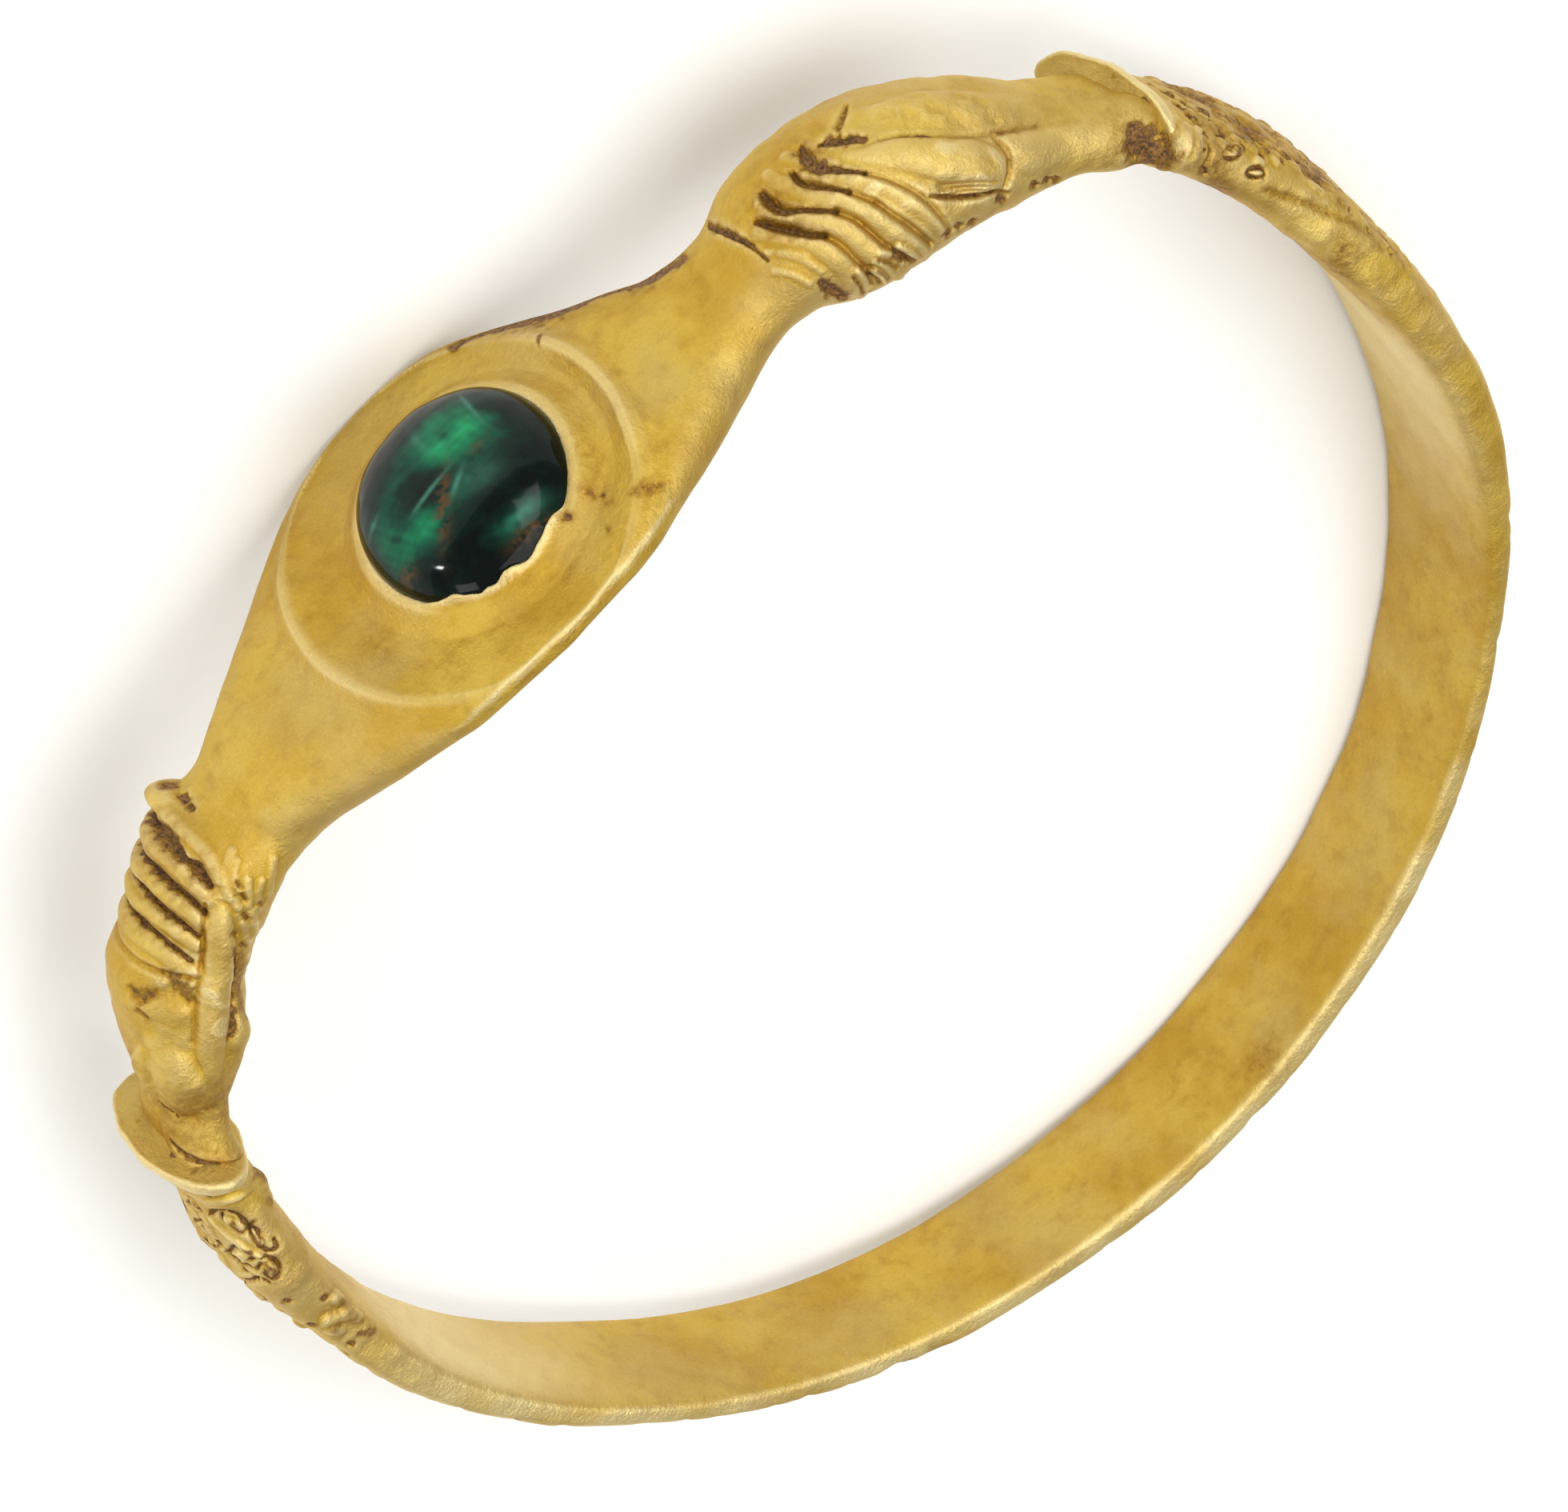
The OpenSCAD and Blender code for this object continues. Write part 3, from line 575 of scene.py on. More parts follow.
    # Worn lug on the inner side
    strand(skin, [[69.4, 124, -14, 24], [71, 134, -14, 26], [73, 140, -18, 24]], 8)
    stain(skin, [[90.6, 92, 5], [91.2, 100, 9], [91.6, 108, 5]], 0.8)


def far_sleeve(skin):
    """Grained scrolls, ringed pellets and the facetted lug on the sleeve of the -X arm."""
    strand(skin, [
        [-66.9, 50, -5, 20], [-67.3, 62, 2, 22], [-67.6, 76, 5, 24], [-67.3, 92, 0, 22],
        [-66.9, 106, -10, 20],
    ], 3)
    cut(skin, [[-68.3, 40, 1.5, 5], [-67.8, 56, 3, 5], [-67.5, 80, 3, 5]], 0)
    cut(skin, [[-68.8, 84, 6, 2], [-69.3, 77, 8, 2.5], [-69.9, 71, 6, 2]], 0.7)
    cut(skin, [[-69, 46, 1.5, 4], [-68.9, 60, 2.5, 4], [-68.8, 72, 2, 4]], 0)
    cut(skin, [[-70.2, 44, 2, 3], [-70.4, 60, 4, 3.5], [-70.5, 78, 4, 3.5], [-70.4, 96, 4, 4]], 0.35)
    for place, angle, radius in (
        (-70.2, 48, 11), (-70.3, 21, 11), (-70.2, -10, 10), (-70.6, 4, 10), (-72.8, 22, 12), (-75, 56, 11),
        (-72.5, 60, 9), (-75.2, 77, 10),
    ):
        strand(skin, sized([[place, angle], [place - 0.3, angle + 2]], 3.5 - radius, radius), 2)
    rings = ((-72.6, 60, 0.75, 12), (-75.1, 76, 0.75, 9), (-73.4, -30, 0.7, 10), (-77.2, 20, 0.7, 10))
    turns = np.linspace(0, 2 * np.pi, 13)
    for place, angle, wide, high in rings:
        ring = [[place + wide * np.cos(turn), angle + high * np.sin(turn + 0.5), 5, 2.8] for turn in turns]
        cut(skin, ring, 0.6)
    for place, angle in (
        (-68.4, -13), (-69, -5), (-69, 7), (-69.5, 21), (-69.9, 34), (-71.8, 38), (-73.8, 0), (-73.7, 30),
        (-71.4, 6), (-78.5, 25), (-70.7, 101),
    ):
        cut(skin, [[place, angle, 8, 5], [place - 0.3, angle + 4, 6, 4.5]], 0.8)
    grains(skin, -1, 7)
    stain(skin, [[-88, 30, 5], [-90, 44, 9], [-91.4, 60, 7]], 0.5)
    cut(skin, [
        [-76.5, 90, 1, 6], [-79.3, 86, 3.5, 7], [-82.4, 76, 4, 8], [-85.2, 66, 3, 8], [-88.5, 62, 1, 8],
    ], 0.4)
    # Crusted, uneven flank below the ringed pellets
    flank = between(-skin.at, 68, 72, 84, 96) * (1 - smooth_step(skin.around, 30, 56))
    crust = waves(skin.points, 0.45, 61) + waves(skin.points, 0.9, 62)
    skin.height += 0.014 * flank * crust
    skin.grime = np.maximum(skin.grime, flank * np.clip(0.4 - 0.18 * crust, 0, 0.6))


def hoop_edges(skin):
    """Gentle uneven lobes on the outer face, and nicks and dark specks along the upper edge."""
    back = smooth_step(from_front(skin.at), 92, 104)
    outer = np.clip(np.cos(np.radians(skin.around)), 0, 1)
    lobes = waves(skin.points * [1, 1, 0.4], 1.7, 21) * 0.03 + waves(skin.points, 0.5, 22) * 0.006
    skin.height += back * outer**1.6 * lobes
    # Upward-facing edges painted pale as a highlight, and partly rubbed; a painted pale reflection towards
    # the two ends of the inner face
    edge = smooth_step(skin.directions[:, 2], 0.25, 0.8) * (1 - smooth_step(skin.at % 360, 205, 235) * back)
    inner = np.clip(-np.cos(np.radians(skin.around)), 0, 1) * back
    ends = 1 - smooth_step(from_front(skin.at), 104, 128)
    lit_and_rubbed = np.clip(0.75 + 0.3 * waves(skin.points, 0.9, 23), 0, 1)
    skin.wear_and_painted_light = np.maximum(edge * lit_and_rubbed * (0.3 + 0.6 * back), 0.9 * inner**0.5 * ends)
    random = np.random.default_rng(3)
    for place in np.arange(98, 262, 3.4):
        spot = place + random.uniform(-1.4, 1.4)
        angle = random.uniform(36, 62)
        size = random.uniform(3, 8)
        after = spot + random.uniform(-0.5, 0.5)
        dirt = random.uniform(0, 0.4)
        cut(skin, [[spot, angle, 0.5 * size, size], [after, angle + 8, 0.4 * size, size]], dirt)
    for place, angle, size, dirt in (
        (146, 60, 10, 0.6), (149, 66, 14, 0.5), (181, 58, 9, 0.6), (122, 56, 5, 0.7), (158, 50, 5, 0.7),
        (145, 70, 5, 0.7), (185, 150, 30, 0.35),
    ):
        cut(skin, [[place, angle, 2, size], [place + 1, angle + 3, 2, size]], dirt, 1)


# Collar of the bezel, from the stone outward: half length, half width and middle of its ovals
STONE_OVAL = (1.45, 1.65, 0, 0)
RIM_OVAL = (1.64, 1.82, 0, 0)
FOOT_OVAL = (1.86, 1.99, 0, 0.02)
CREST_OVAL = (2.44, 2.7, 0.25, 0.06)
OUTER_OVAL = (2.8, 3.0, 0.25, 0.06)
COLLAR_OVALS = (STONE_OVAL, RIM_OVAL, FOOT_OVAL, CREST_OVAL, OUTER_OVAL)
# The seat's floor, in shares of the stone's oval
FLOOR_SHARE = 0.88
# Levels above the middle of the plate by count of ovals, towards the two stems and towards the edges
COLLAR_LEVELS = np.array([
    [-1.5, 0, 0], [-0.8, 0, 0], [-0.5, 0.34, 0.34], [-0.28, 0.43, 0.43], [0, 0.445, 0.44], [0.3, 0.44, 0.43],
    [0.6, 0.42, 0.41], [1, 0.35, 0.35], [1.4, 0.28, 0.27], [2, 0.21, 0.2], [2.35, 0.22, 0.19],
    [2.75, 0.31, 0.19], [3, 0.38, 0.17], [3.25, 0.37, 0.12], [3.6, 0.25, 0], [4, 0.04, -0.2], [5, -0.6, -0.9],
    [8, -2.4, -2.4],
])


def oval_reach(angle, oval):
    """Distance at an angle in radians from the stone's middle to an oval that has its own middle.

    It is the larger root of the square of the point's place in the oval, counted in half sizes, less 1.
    """
    half_x, half_z, middle_x, middle_z = oval
    cosine, sine = np.cos(angle), np.sin(angle)
    square = (cosine / half_x) ** 2 + (sine / half_z) ** 2
    slope = cosine * middle_x / half_x**2 + sine * middle_z / half_z**2
    rest = (middle_x / half_x) ** 2 + (middle_z / half_z) ** 2 - 1
    return (slope + np.sqrt(slope**2 - square * rest)) / square


def collar_level(across, up):
    """Level of the collar above the middle of the plate, at points across and up from the stone.

    The distance from the stone's middle is counted in ovals: -1 at the seat's floor, 0 at the stone, 1
    at the rim's outer edge, 2 at the rim's foot, 3 at the crest of the lip and 4 at its outer foot. The
    level is a smooth profile of that count, one towards the stems and one towards the plate's edges,
    mixed by the square of the angle's sine.
    """
    angle = np.arctan2(up, across)
    distance = np.hypot(across, up)
    edges = [oval_reach(angle, oval) for oval in COLLAR_OVALS]
    edges = [FLOOR_SHARE * edges[0], *edges]
    count = np.full(len(across), -1.0)
    for index, (low, high) in enumerate(zip(edges[:-1], edges[1:])):
        count = np.where(distance > low, index - 1 + np.clip((distance - low) / (high - low), 0, 1), count)
    count += np.clip((distance - edges[-1]) / 0.2, 0, 4)
    # Each profile is drawn straight between its rows, and then averaged under a bell curve
    counts, *profiles = COLLAR_LEVELS.T
    fine = np.linspace(counts[0], counts[-1], 951)
    kernel = np.exp(-(np.linspace(-2.2, 2.2, 19) ** 2))
    levels = []
    for profile in profiles:
        padded = np.pad(np.interp(fine, counts, profile), len(kernel) // 2, mode="edge")
        levels.append(np.interp(count, fine, np.convolve(padded, kernel / kernel.sum(), mode="valid")))
    side = smooth_step(np.abs(np.sin(angle)), 0.35, 0.98)
    return levels[0] * (1 - side) + levels[1] * side, count


def blots(across, up, rows):
    """Sum of bell curves, one a row: place across and up, half sizes, turn in degrees, strength."""
    total = np.zeros(len(across))
    for x, z, wide, high, turn, strength in rows:
        turn = np.radians(turn)
        first = (across - x) * np.cos(turn) + (up - z) * np.sin(turn)
        second = (up - z) * np.cos(turn) - (across - x) * np.sin(turn)
        total += strength * np.exp(-((first / wide) ** 2) - (second / high) ** 2)
    return total


def bezel_top(skin):
    """Raises the collar and the stone's rim out of the plate's outer face, and dents and stains it."""
    outward = -skin.directions[:, 1]
    face = smooth_step(outward, 0.02, 0.3) * (from_front(skin.at) < BEZEL_SPAN)
    across = skin.points[:, 0] - COLLAR_X
    up = skin.points[:, 2]
    distance = np.hypot(across, up)
    level, count = collar_level(across, up)
    angle = np.arctan2(up, across)
    level = level + COLLAR_TILT * across - SIDE_DROP * np.sin(angle) ** 2 * (1 - smooth_step(count, 0.6, 2.2))
    ripple = 0.006 * np.sin(9 * angle + 1) * np.exp(-((count - 0.5) ** 2))
    level += waves(skin.points, 0.9, 42) * 0.014 + ripple
    # Uneven burr of gold pressed over the stone on one side
    burr = between(np.degrees(angle), 34, 50, 112, 128)
    torn = np.clip(0.75 + 0.4 * waves(skin.points, 0.7, 43) + 0.2 * waves(skin.points, 0.22, 44), 0, 1.4)
    level += 0.15 * burr * torn * np.exp(-(((count + 0.15) / 0.3) ** 2))
    plate = -skin.points[:, 1] - BEZEL_REACH
    inside = distance < oval_reach(angle, CREST_OVAL)
    raised = np.where(inside, level, soft_max(plate, level, 0.12))
    skin.lift = np.where(distance < COLLAR_END, face * (raised - plate), 0)
    # Thin dirt where the rim meets the stone, and fainter at the rim's foot
    patchy = np.clip(0.45 + 0.5 * waves(skin.points, 0.5, 41), 0, 1)
    ring = 0.4 * np.exp(-(((count + 0.25) / 0.12) ** 2)) + 0.12 * np.exp(-(((count - 1.6) / 0.3) ** 2))
    marks = blots(across, up, [
        (-1.22, 1.5, 0.14, 0.28, 20, 0.5),
        (-1.53, 2.5, 0.2, 0.1, 60, 0.55),
        (-1.5, 1, 0.18, 0.45, 0, 0.25),
        (2.05, 0.54, 0.2, 0.45, 0, 0.25),
        (-0.76, 1.53, 0.09, 0.07, 0, 1.0),
        (-1, 2, 0.05, 0.1, 0, 0.5),
        (-2.02, -1.07, 0.12, 0.03, 55, 0.8),
    ])
    skin.grime = np.maximum(skin.grime, face * (ring * patchy * (distance < 2.6) + marks * skin.ragged))


def bezel_marks(skin):
    """Dark earth line along the far edge of the bezel, and a stain by its other edge."""
    cut(skin, [
        [-28.8, -30, 2, 7], [-26.5, -43, 4, 16], [-24, -52, 3, 12], [-21.5, -57, 2, 8], [-18.5, -60, 5, 20],
        [-16, -62, 6, 24], [-13, -64, 4, 17], [-10, -65, 2, 8], [-7.8, -60, 3, 10],
    ], 1)
    stain(skin, [[-10.5, 50, 10], [-11.5, 56, 14], [-12.5, 62, 10]], 0.5)


def relief(skin):
    """All the chasing, then the fine unevenness of a cast and worn surface."""
    near_hand(skin)
    far_hand(skin)
    near_sleeve(skin)
    far_sleeve(skin)
    bezel_marks(skin)
    hoop_edges(skin)
    away = from_front(skin.at)
    worked = between(away, 31, 36, 96, 104)
    uneven = waves(skin.points, 0.35, 12) * (0.0015 + 0.006 * worked)
    skin.height += waves(skin.points, 1.6, 11) * 0.008 + uneven
    # The fingers stayed rough from the casting: small blunt bumps, with painted glints pale on their tops
    bumps = np.clip(1.4 * waves(skin.points, 0.3, 15), -0.6, 1)
    rough = between(away, 38, 42, 51, 56) * smooth_step(skin.around, 26, 48)
    rough *= np.clip(0.5 + waves(skin.points, 0.8, 16), 0, 1)
    skin.height += 0.013 * rough * bumps
    skin.wear_and_painted_light = np.maximum(skin.wear_and_painted_light, 0.7 * rough * np.clip(1.6 * bumps - 0.4, 0, 1))
    sleeve = between(away, 66, 70, 84, 104)
    patchy = np.clip(0.6 + 0.5 * waves(skin.points, 0.8, 13), 0, 1)
    film = 0.06 + (0.2 + 0.22 * (skin.at < 0)) * sleeve * patchy
    skin.grime = np.maximum(skin.grime, film * np.clip(0.5 + 0.6 * waves(skin.points, 1.2, 14), 0, 1))


# Millimetres along the ring for each degree of place, and how steeply a stretch sinks past its seams
MM_A_DEGREE = 0.16
SINK = 0.6


def sunk(skin, seam_first, seam_last):
    """Depth of the rows past a seam, under the next piece: the square of their distance, times SINK."""
    past = np.maximum(seam_first - skin.at, skin.at - seam_last).clip(0)
    return SINK * (past * MM_A_DEGREE) ** 2


def laid(points):
    """Points in millimetres from the upright drawing position, laid at rest in metres."""
    lean, roll = np.radians([LEAN, ROLL])
    about_x = np.array([[1, 0, 0], [0, np.cos(lean), -np.sin(lean)], [0, np.sin(lean), np.cos(lean)]])
    about_y = np.array([[np.cos(roll), 0, np.sin(roll)], [0, 1, 0], [-np.sin(roll), 0, np.cos(roll)]])
    return (points @ (about_y @ about_x).T + REST_AT) * MM


def grid_solid(name, points, rows, columns, shares):
    """Mesh of a closed tube: quads between the rows and columns, and a fan of triangles at each end."""
    everything = np.vstack([points, points[:columns].mean(0), points[-columns:].mean(0)])
    row, column = np.meshgrid(np.arange(rows - 1), np.arange(columns), indexing="ij")
    next_column = (column + 1) % columns
    here, beyond = row * columns, (row + 1) * columns
    corners = (here + column, beyond + column, beyond + next_column, here + next_column)
    quads = np.stack(corners, -1).reshape(-1, 4)
    edge = np.arange(columns)
    after = (edge + 1) % columns
    base, last = rows * columns, (rows - 1) * columns
    fans = np.vstack([
        np.stack([np.full(columns, base), edge, after], -1),
        np.stack([np.full(columns, base + 1), last + after, last + edge], -1),
    ])
    mesh = bpy.data.meshes.new(name)
    mesh.from_pydata(laid(everything).tolist(), [], quads.tolist() + fans.tolist())
    mesh.shade_smooth()
    for title, values in shares:
        attribute = mesh.attributes.new(title, "FLOAT", "POINT")
        attribute.data.foreach_set("value", np.append(values, [0, 0]).astype(np.float32))
    assert not mesh.validate()
    piece = bpy.data.objects.new(name, mesh)
    bpy.context.scene.collection.objects.link(piece)
    return piece


def turned_round(values, columns):
    """Values of a grid with each of its rows in reverse order, which turns its faces to the other side."""
    return values.reshape(-1, columns, *values.shape[1:])[:, ::-1].reshape(values.shape)


def averaged(field, times):
    """Grid of values averaged over its neighbours that many times, round each section and along."""
    for _ in range(times):
        field = (np.roll(field, 1, 1) + 2 * field + np.roll(field, -1, 1)) / 4
        padded = np.pad(field, ((1, 1), (0, 0)), mode="edge")
        field = (padded[:-2] + 2 * padded[1:-1] + padded[2:]) / 4
    return field


# How far a stretch runs on past its seams in degrees, how often its heights are averaged to find its
# hollows, and the depth of a full hollow
SEAM_MARGIN = 0.5
HOLLOW_ROUNDS = 12
HOLLOW_DEPTH = 0.02


def dressed(name, first, last, rows, columns, inner_share):
    """One stretch of the ring between two seams, with its relief, dirt, wear and painted light."""
    skin = Skin(first - SEAM_MARGIN, last + SEAM_MARGIN, rows, columns, inner_share)
    relief(skin)
    bezel_top(skin)
    height = skin.height - sunk(skin, first, last)
    points = skin.points + height[:, None] * skin.directions
    points[:, 1] -= skin.lift
    total = (skin.height + skin.lift).reshape(rows, columns)
    hollow = (averaged(total, HOLLOW_ROUNDS) - total).ravel() / HOLLOW_DEPTH
    grime = np.clip(skin.grime + 0.2 * np.clip(hollow - 0.4, 0, 1.6), 0, 1)
    wear_and_painted_light = np.clip(skin.wear_and_painted_light - 0.7 * hollow, 0, 1) * (1 - grime)
    return grid_solid(name, points, rows, columns, [("grime", grime), ("wear_and_painted_light", wear_and_painted_light)])


# Cuffs: place of the middle, its distance from the hoop's centre, half sizes outward, inward, upward and
# downward, and how far the disc leans along the arm for each millimetre outward and upward
NEAR_CUFF = (66.3, 9.44, 0.7, 0.62, 1.28, 1.26, 0.2, -0.04)
FAR_CUFF = (64.6, 9.54, 0.66, 0.38, 1.02, 1.12, 0.2, -0.42)
# Points round a cuff, and how many degrees less than its place its disc is turned
CUFF_COLUMNS = 420
CUFF_TURN = 2
# Profile of a cuff from the sleeve over the rim to the wrist: share of the oval's size, distance
CUFF_PROFILE = [
    [0.3, -0.2], [0.45, -0.17], [0.6, -0.12], [0.75, -0.08], [0.88, -0.05], [0.955, -0.035], [0.99, -0.005],
    [1, 0.045], [0.985, 0.12], [0.93, 0.19], [0.84, 0.26], [0.75, 0.36], [0.68, 0.52], [0.5, 0.7], [0.3, 0.8],
]


def cuff(name, side, shape, seed):
    """Flared cuff: a bell that widens from the sleeve to a rim, with a face that swells to the wrist.

    The profile gives a share of the oval's size and a distance along the arm; every turn carries it to
    the middle, plus the size along the leaning outward and upward directions, plus the distance.
    """
    place, reach, half_out, half_in, half_up, half_down, lean_out, lean_up = shape
    turn = place - CUFF_TURN
    along = np.array([-side * np.cos(np.radians(turn)), -np.sin(np.radians(turn)), 0])
    out = facing(np.array(side * turn)) + lean_out * along
    up = np.array([0, 0, 1]) + lean_up * along
    middle = reach * facing(np.array(side * place))
    profile = curve(CUFF_PROFILE, 14)
    rows, columns = len(profile), CUFF_COLUMNS
    angle = np.tile(np.linspace(0, 2 * np.pi, columns, endpoint=False), rows)
    size = np.repeat(profile[:, 0], columns)
    distance = np.repeat(profile[:, 1], columns)
    cosine, sine = np.cos(angle), np.sin(angle)
    across = size * np.where(cosine > 0, half_out, half_in) * cosine
    along_hole = size * np.where(sine > 0, half_up, half_down) * sine
    flat = middle + across[:, None] * out + along_hole[:, None] * up
    points = flat - distance[:, None] * along
    rough = waves(points, 0.8, seed) * 0.018 + waves(points, 0.25, seed + 1) * 0.008
    spread = (points - middle) / np.linalg.norm(points - middle, axis=1)[:, None]
    points += (rough * smooth_step(size, 0.4, 0.9))[:, None] * spread
    dirty = np.clip(0.45 + 0.8 * waves(points, 0.5, seed + 2), 0, 1)
    spots = np.clip(1.4 * waves(points, 0.3, seed + 3) - 1.5, 0, 1) * (1 - smooth_step(size, 0.86, 0.94))
    grime = np.clip(dirty * (0.3 * (1 - smooth_step(size, 0.4, 0.75)) + 0.08) + spots, 0, 1)
    # Painted light: the whole face a little paler to lift it out of shade; the rim rubbed pale
    wear_and_painted_light = 0.22 + 0.78 * smooth_step(size, 0.93, 0.99)
    if side > 0:
        points, grime, wear_and_painted_light = (turned_round(values, columns) for values in (points, grime, wear_and_painted_light))
    return grid_solid(name, points, rows, columns, [("grime", grime), ("wear_and_painted_light", wear_and_painted_light)])


# Stone: squareness of its oval, points round it, rows of its base, girdle and dome, and the heights of
# its girdle and its dome
STONE_SQUARE = 2.1
STONE_COLUMNS = 360
BASE_ROWS, GIRDLE_ROWS, DOME_ROWS = 30, 10, 220
GIRDLE = 0.32
DOME = 0.83


def emerald():
    """Cabochon: a flat base, an upright girdle and a low dome whose size falls as a power of a cosine."""
    rise = np.linspace(0, 0.5 * np.pi, DOME_ROWS)
    sizes = np.concatenate([
        np.linspace(0.2, 0.92, BASE_ROWS), np.linspace(0.95, 1.0, GIRDLE_ROWS), np.cos(rise).clip(0) ** 0.9
    ]).clip(0.004)
    levels = np.concatenate([
        np.full(BASE_ROWS, GIRDLE - 0.3),
        np.linspace(GIRDLE - 0.25, GIRDLE - 0.01, GIRDLE_ROWS),
        GIRDLE + DOME * np.sin(rise),
    ])
    angle = np.tile(np.linspace(0, 2 * np.pi, STONE_COLUMNS, endpoint=False), len(sizes))
    size = np.repeat(sizes, STONE_COLUMNS)
    level = np.repeat(levels, STONE_COLUMNS)
    across = STONE_OVAL[0] * size * rounded(np.cos(angle), STONE_SQUARE)
    up = STONE_OVAL[1] * size * rounded(np.sin(angle), STONE_SQUARE)
    tilt = level + COLLAR_TILT * across - SIDE_DROP * np.sin(angle) ** 2 * size
    points = np.column_stack([COLLAR_X + across, -BEZEL_REACH - tilt, up])
    worn = waves(points, 1.1, 51) * 0.012 + waves(points, 0.3, 52) * 0.0015
    points[:, 1] -= worn * smooth_step(level, GIRDLE, GIRDLE + 0.2)
    shares = stone_shares(across, up, points)
    points = turned_round(points, STONE_COLUMNS)
    shares = [(title, turned_round(values, STONE_COLUMNS)) for title, values in shares]
    return grid_solid("emerald_cabochon", points, len(sizes), STONE_COLUMNS, shares)


def stone_shares(across, up, points):
    """Shares of clear green, of pale veil and of rust over the stone, as soft spots and short lines."""
    green = blots(across, up, [
        (-0.38, -0.12, 0.34, 0.26, 0, 0.8),
        (-0.4, -0.55, 0.55, 0.34, 0, 0.42),
        (0.8, 0.45, 0.3, 0.4, 60, 0.5),
        (0.5, 0.55, 0.2, 0.22, 0, 0.3),
        (-0.35, 1.3, 0.36, 0.14, 0, 0.42),
        (-0.2, 0.5, 0.55, 0.26, 20, 0.26),
        (0.5, -0.3, 0.6, 0.32, 0, 0.2),
        (-0.8, 0, 0.35, 0.5, 0, 0.26),
        (1.05, 0, 0.3, 0.5, 0, 0.2),
    ])
    veil = blots(across, up, [
        (-0.4, 0.6, 0.3, 0.2, 0, 0.25),
        (0.22, 0.24, 0.32, 0.035, 6, 0.7),
        (-0.12, 0.45, 0.2, 0.04, 30, 0.5),
        (-0.86, -0.5, 0.03, 0.34, 0, 0.5),
        (-0.1, -0.6, 0.06, 0.24, 0, 0.3),
        (1.05, -0.24, 0.14, 0.05, 0, 0.5),
        (-0.45, 1.3, 0.26, 0.08, 10, 0.4),
    ])
    rust = blots(across, up, [
        (0.2, 0.54, 0.44, 0.1, 46, 1.0),
        (1.14, 0.62, 0.15, 0.1, -35, 0.9),
        (-0.66, 0.2, 0.2, 0.08, 20, 0.4),
        (-0.35, 1.48, 0.3, 0.07, 0, 0.8),
    ])
    cloudy = 0.9 + 0.22 * waves(points, 0.5, 61) + 0.1 * waves(points, 0.16, 62)
    flaky = np.clip(0.6 + 0.5 * waves(points, 0.2, 63, 60) + 0.4 * waves(points, 0.09, 64, 60), 0, 1)
    return [(title, np.clip(values, 0, 1)) for title, values in (
        ("green", green * cloudy), ("veil", veil * cloudy), ("rust", rust * flaky),
    )]


def linear(colour):
    """Linear red, green, blue and 1 of an sRGB hex colour."""
    values = np.array([int(colour[i : i + 2], 16) for i in (1, 3, 5)]) / 255
    values = np.where(values <= 0.04045, values / 12.92, ((values + 0.055) / 1.055) ** 2.4)
    return (*values.tolist(), 1.0)


def node(material, kind, inputs=(), **properties):
    """Adds a node with its properties; an input, by name or number, gets a plain value or what feeds it."""
    made = material.node_tree.nodes.new(kind)
    for title, value in properties.items():
        setattr(made, title, value)
    for title, value in dict(inputs).items():
        if isinstance(value, bpy.types.NodeSocket):
            material.node_tree.links.new(value, made.inputs[title])
        else:
            made.inputs[title].default_value = value
    return made


def blank_material(name):
    """Material without any node."""
    material = bpy.data.materials.new(name)
    material.use_nodes = True
    material.node_tree.nodes.clear()
    return material


# Colours of the gold with its wear, painted highlights and painted grey reflection, of the earth in its
# hollows, and of the emerald from its darkest to its clearest
GOLD_PALE = "#CDAD48"
GOLD_DEEP = "#BC9734"
GOLD_OCHRE = "#A27A26"
GOLD_WORN_AND_LIT = "#DFCA8E"
GOLD_REFLECTED_GREY = "#C6AC6C"
GOLD_BROWN = "#8A5C1E"
EARTH_DARK = "#42270E"
EARTH_LIGHT = "#8C622A"
EMERALD_STOPS = (
    (0, "#030A08"), (0.14, "#06231A"), (0.3, "#0B4632"), (0.55, "#126A45"), (0.85, "#1C8C58"),
)
EMERALD_VEIL = "#4E8A74"
EMERALD_RUST = "#553A1E"
# Depth of the gold's fine grain
GRAIN_DEPTH = 0.016 * MM
# From metres to millimetres, in which the patterns are measured
IN_MM = (1 / MM, 1 / MM, 1 / MM)
# Inputs of the noise and range nodes, in the order of the rows below
NOISE = ("Vector", "Scale", "Detail", "Roughness", "Distortion")
RANGE = ("Value", "From Min", "From Max", "To Min", "To Max")


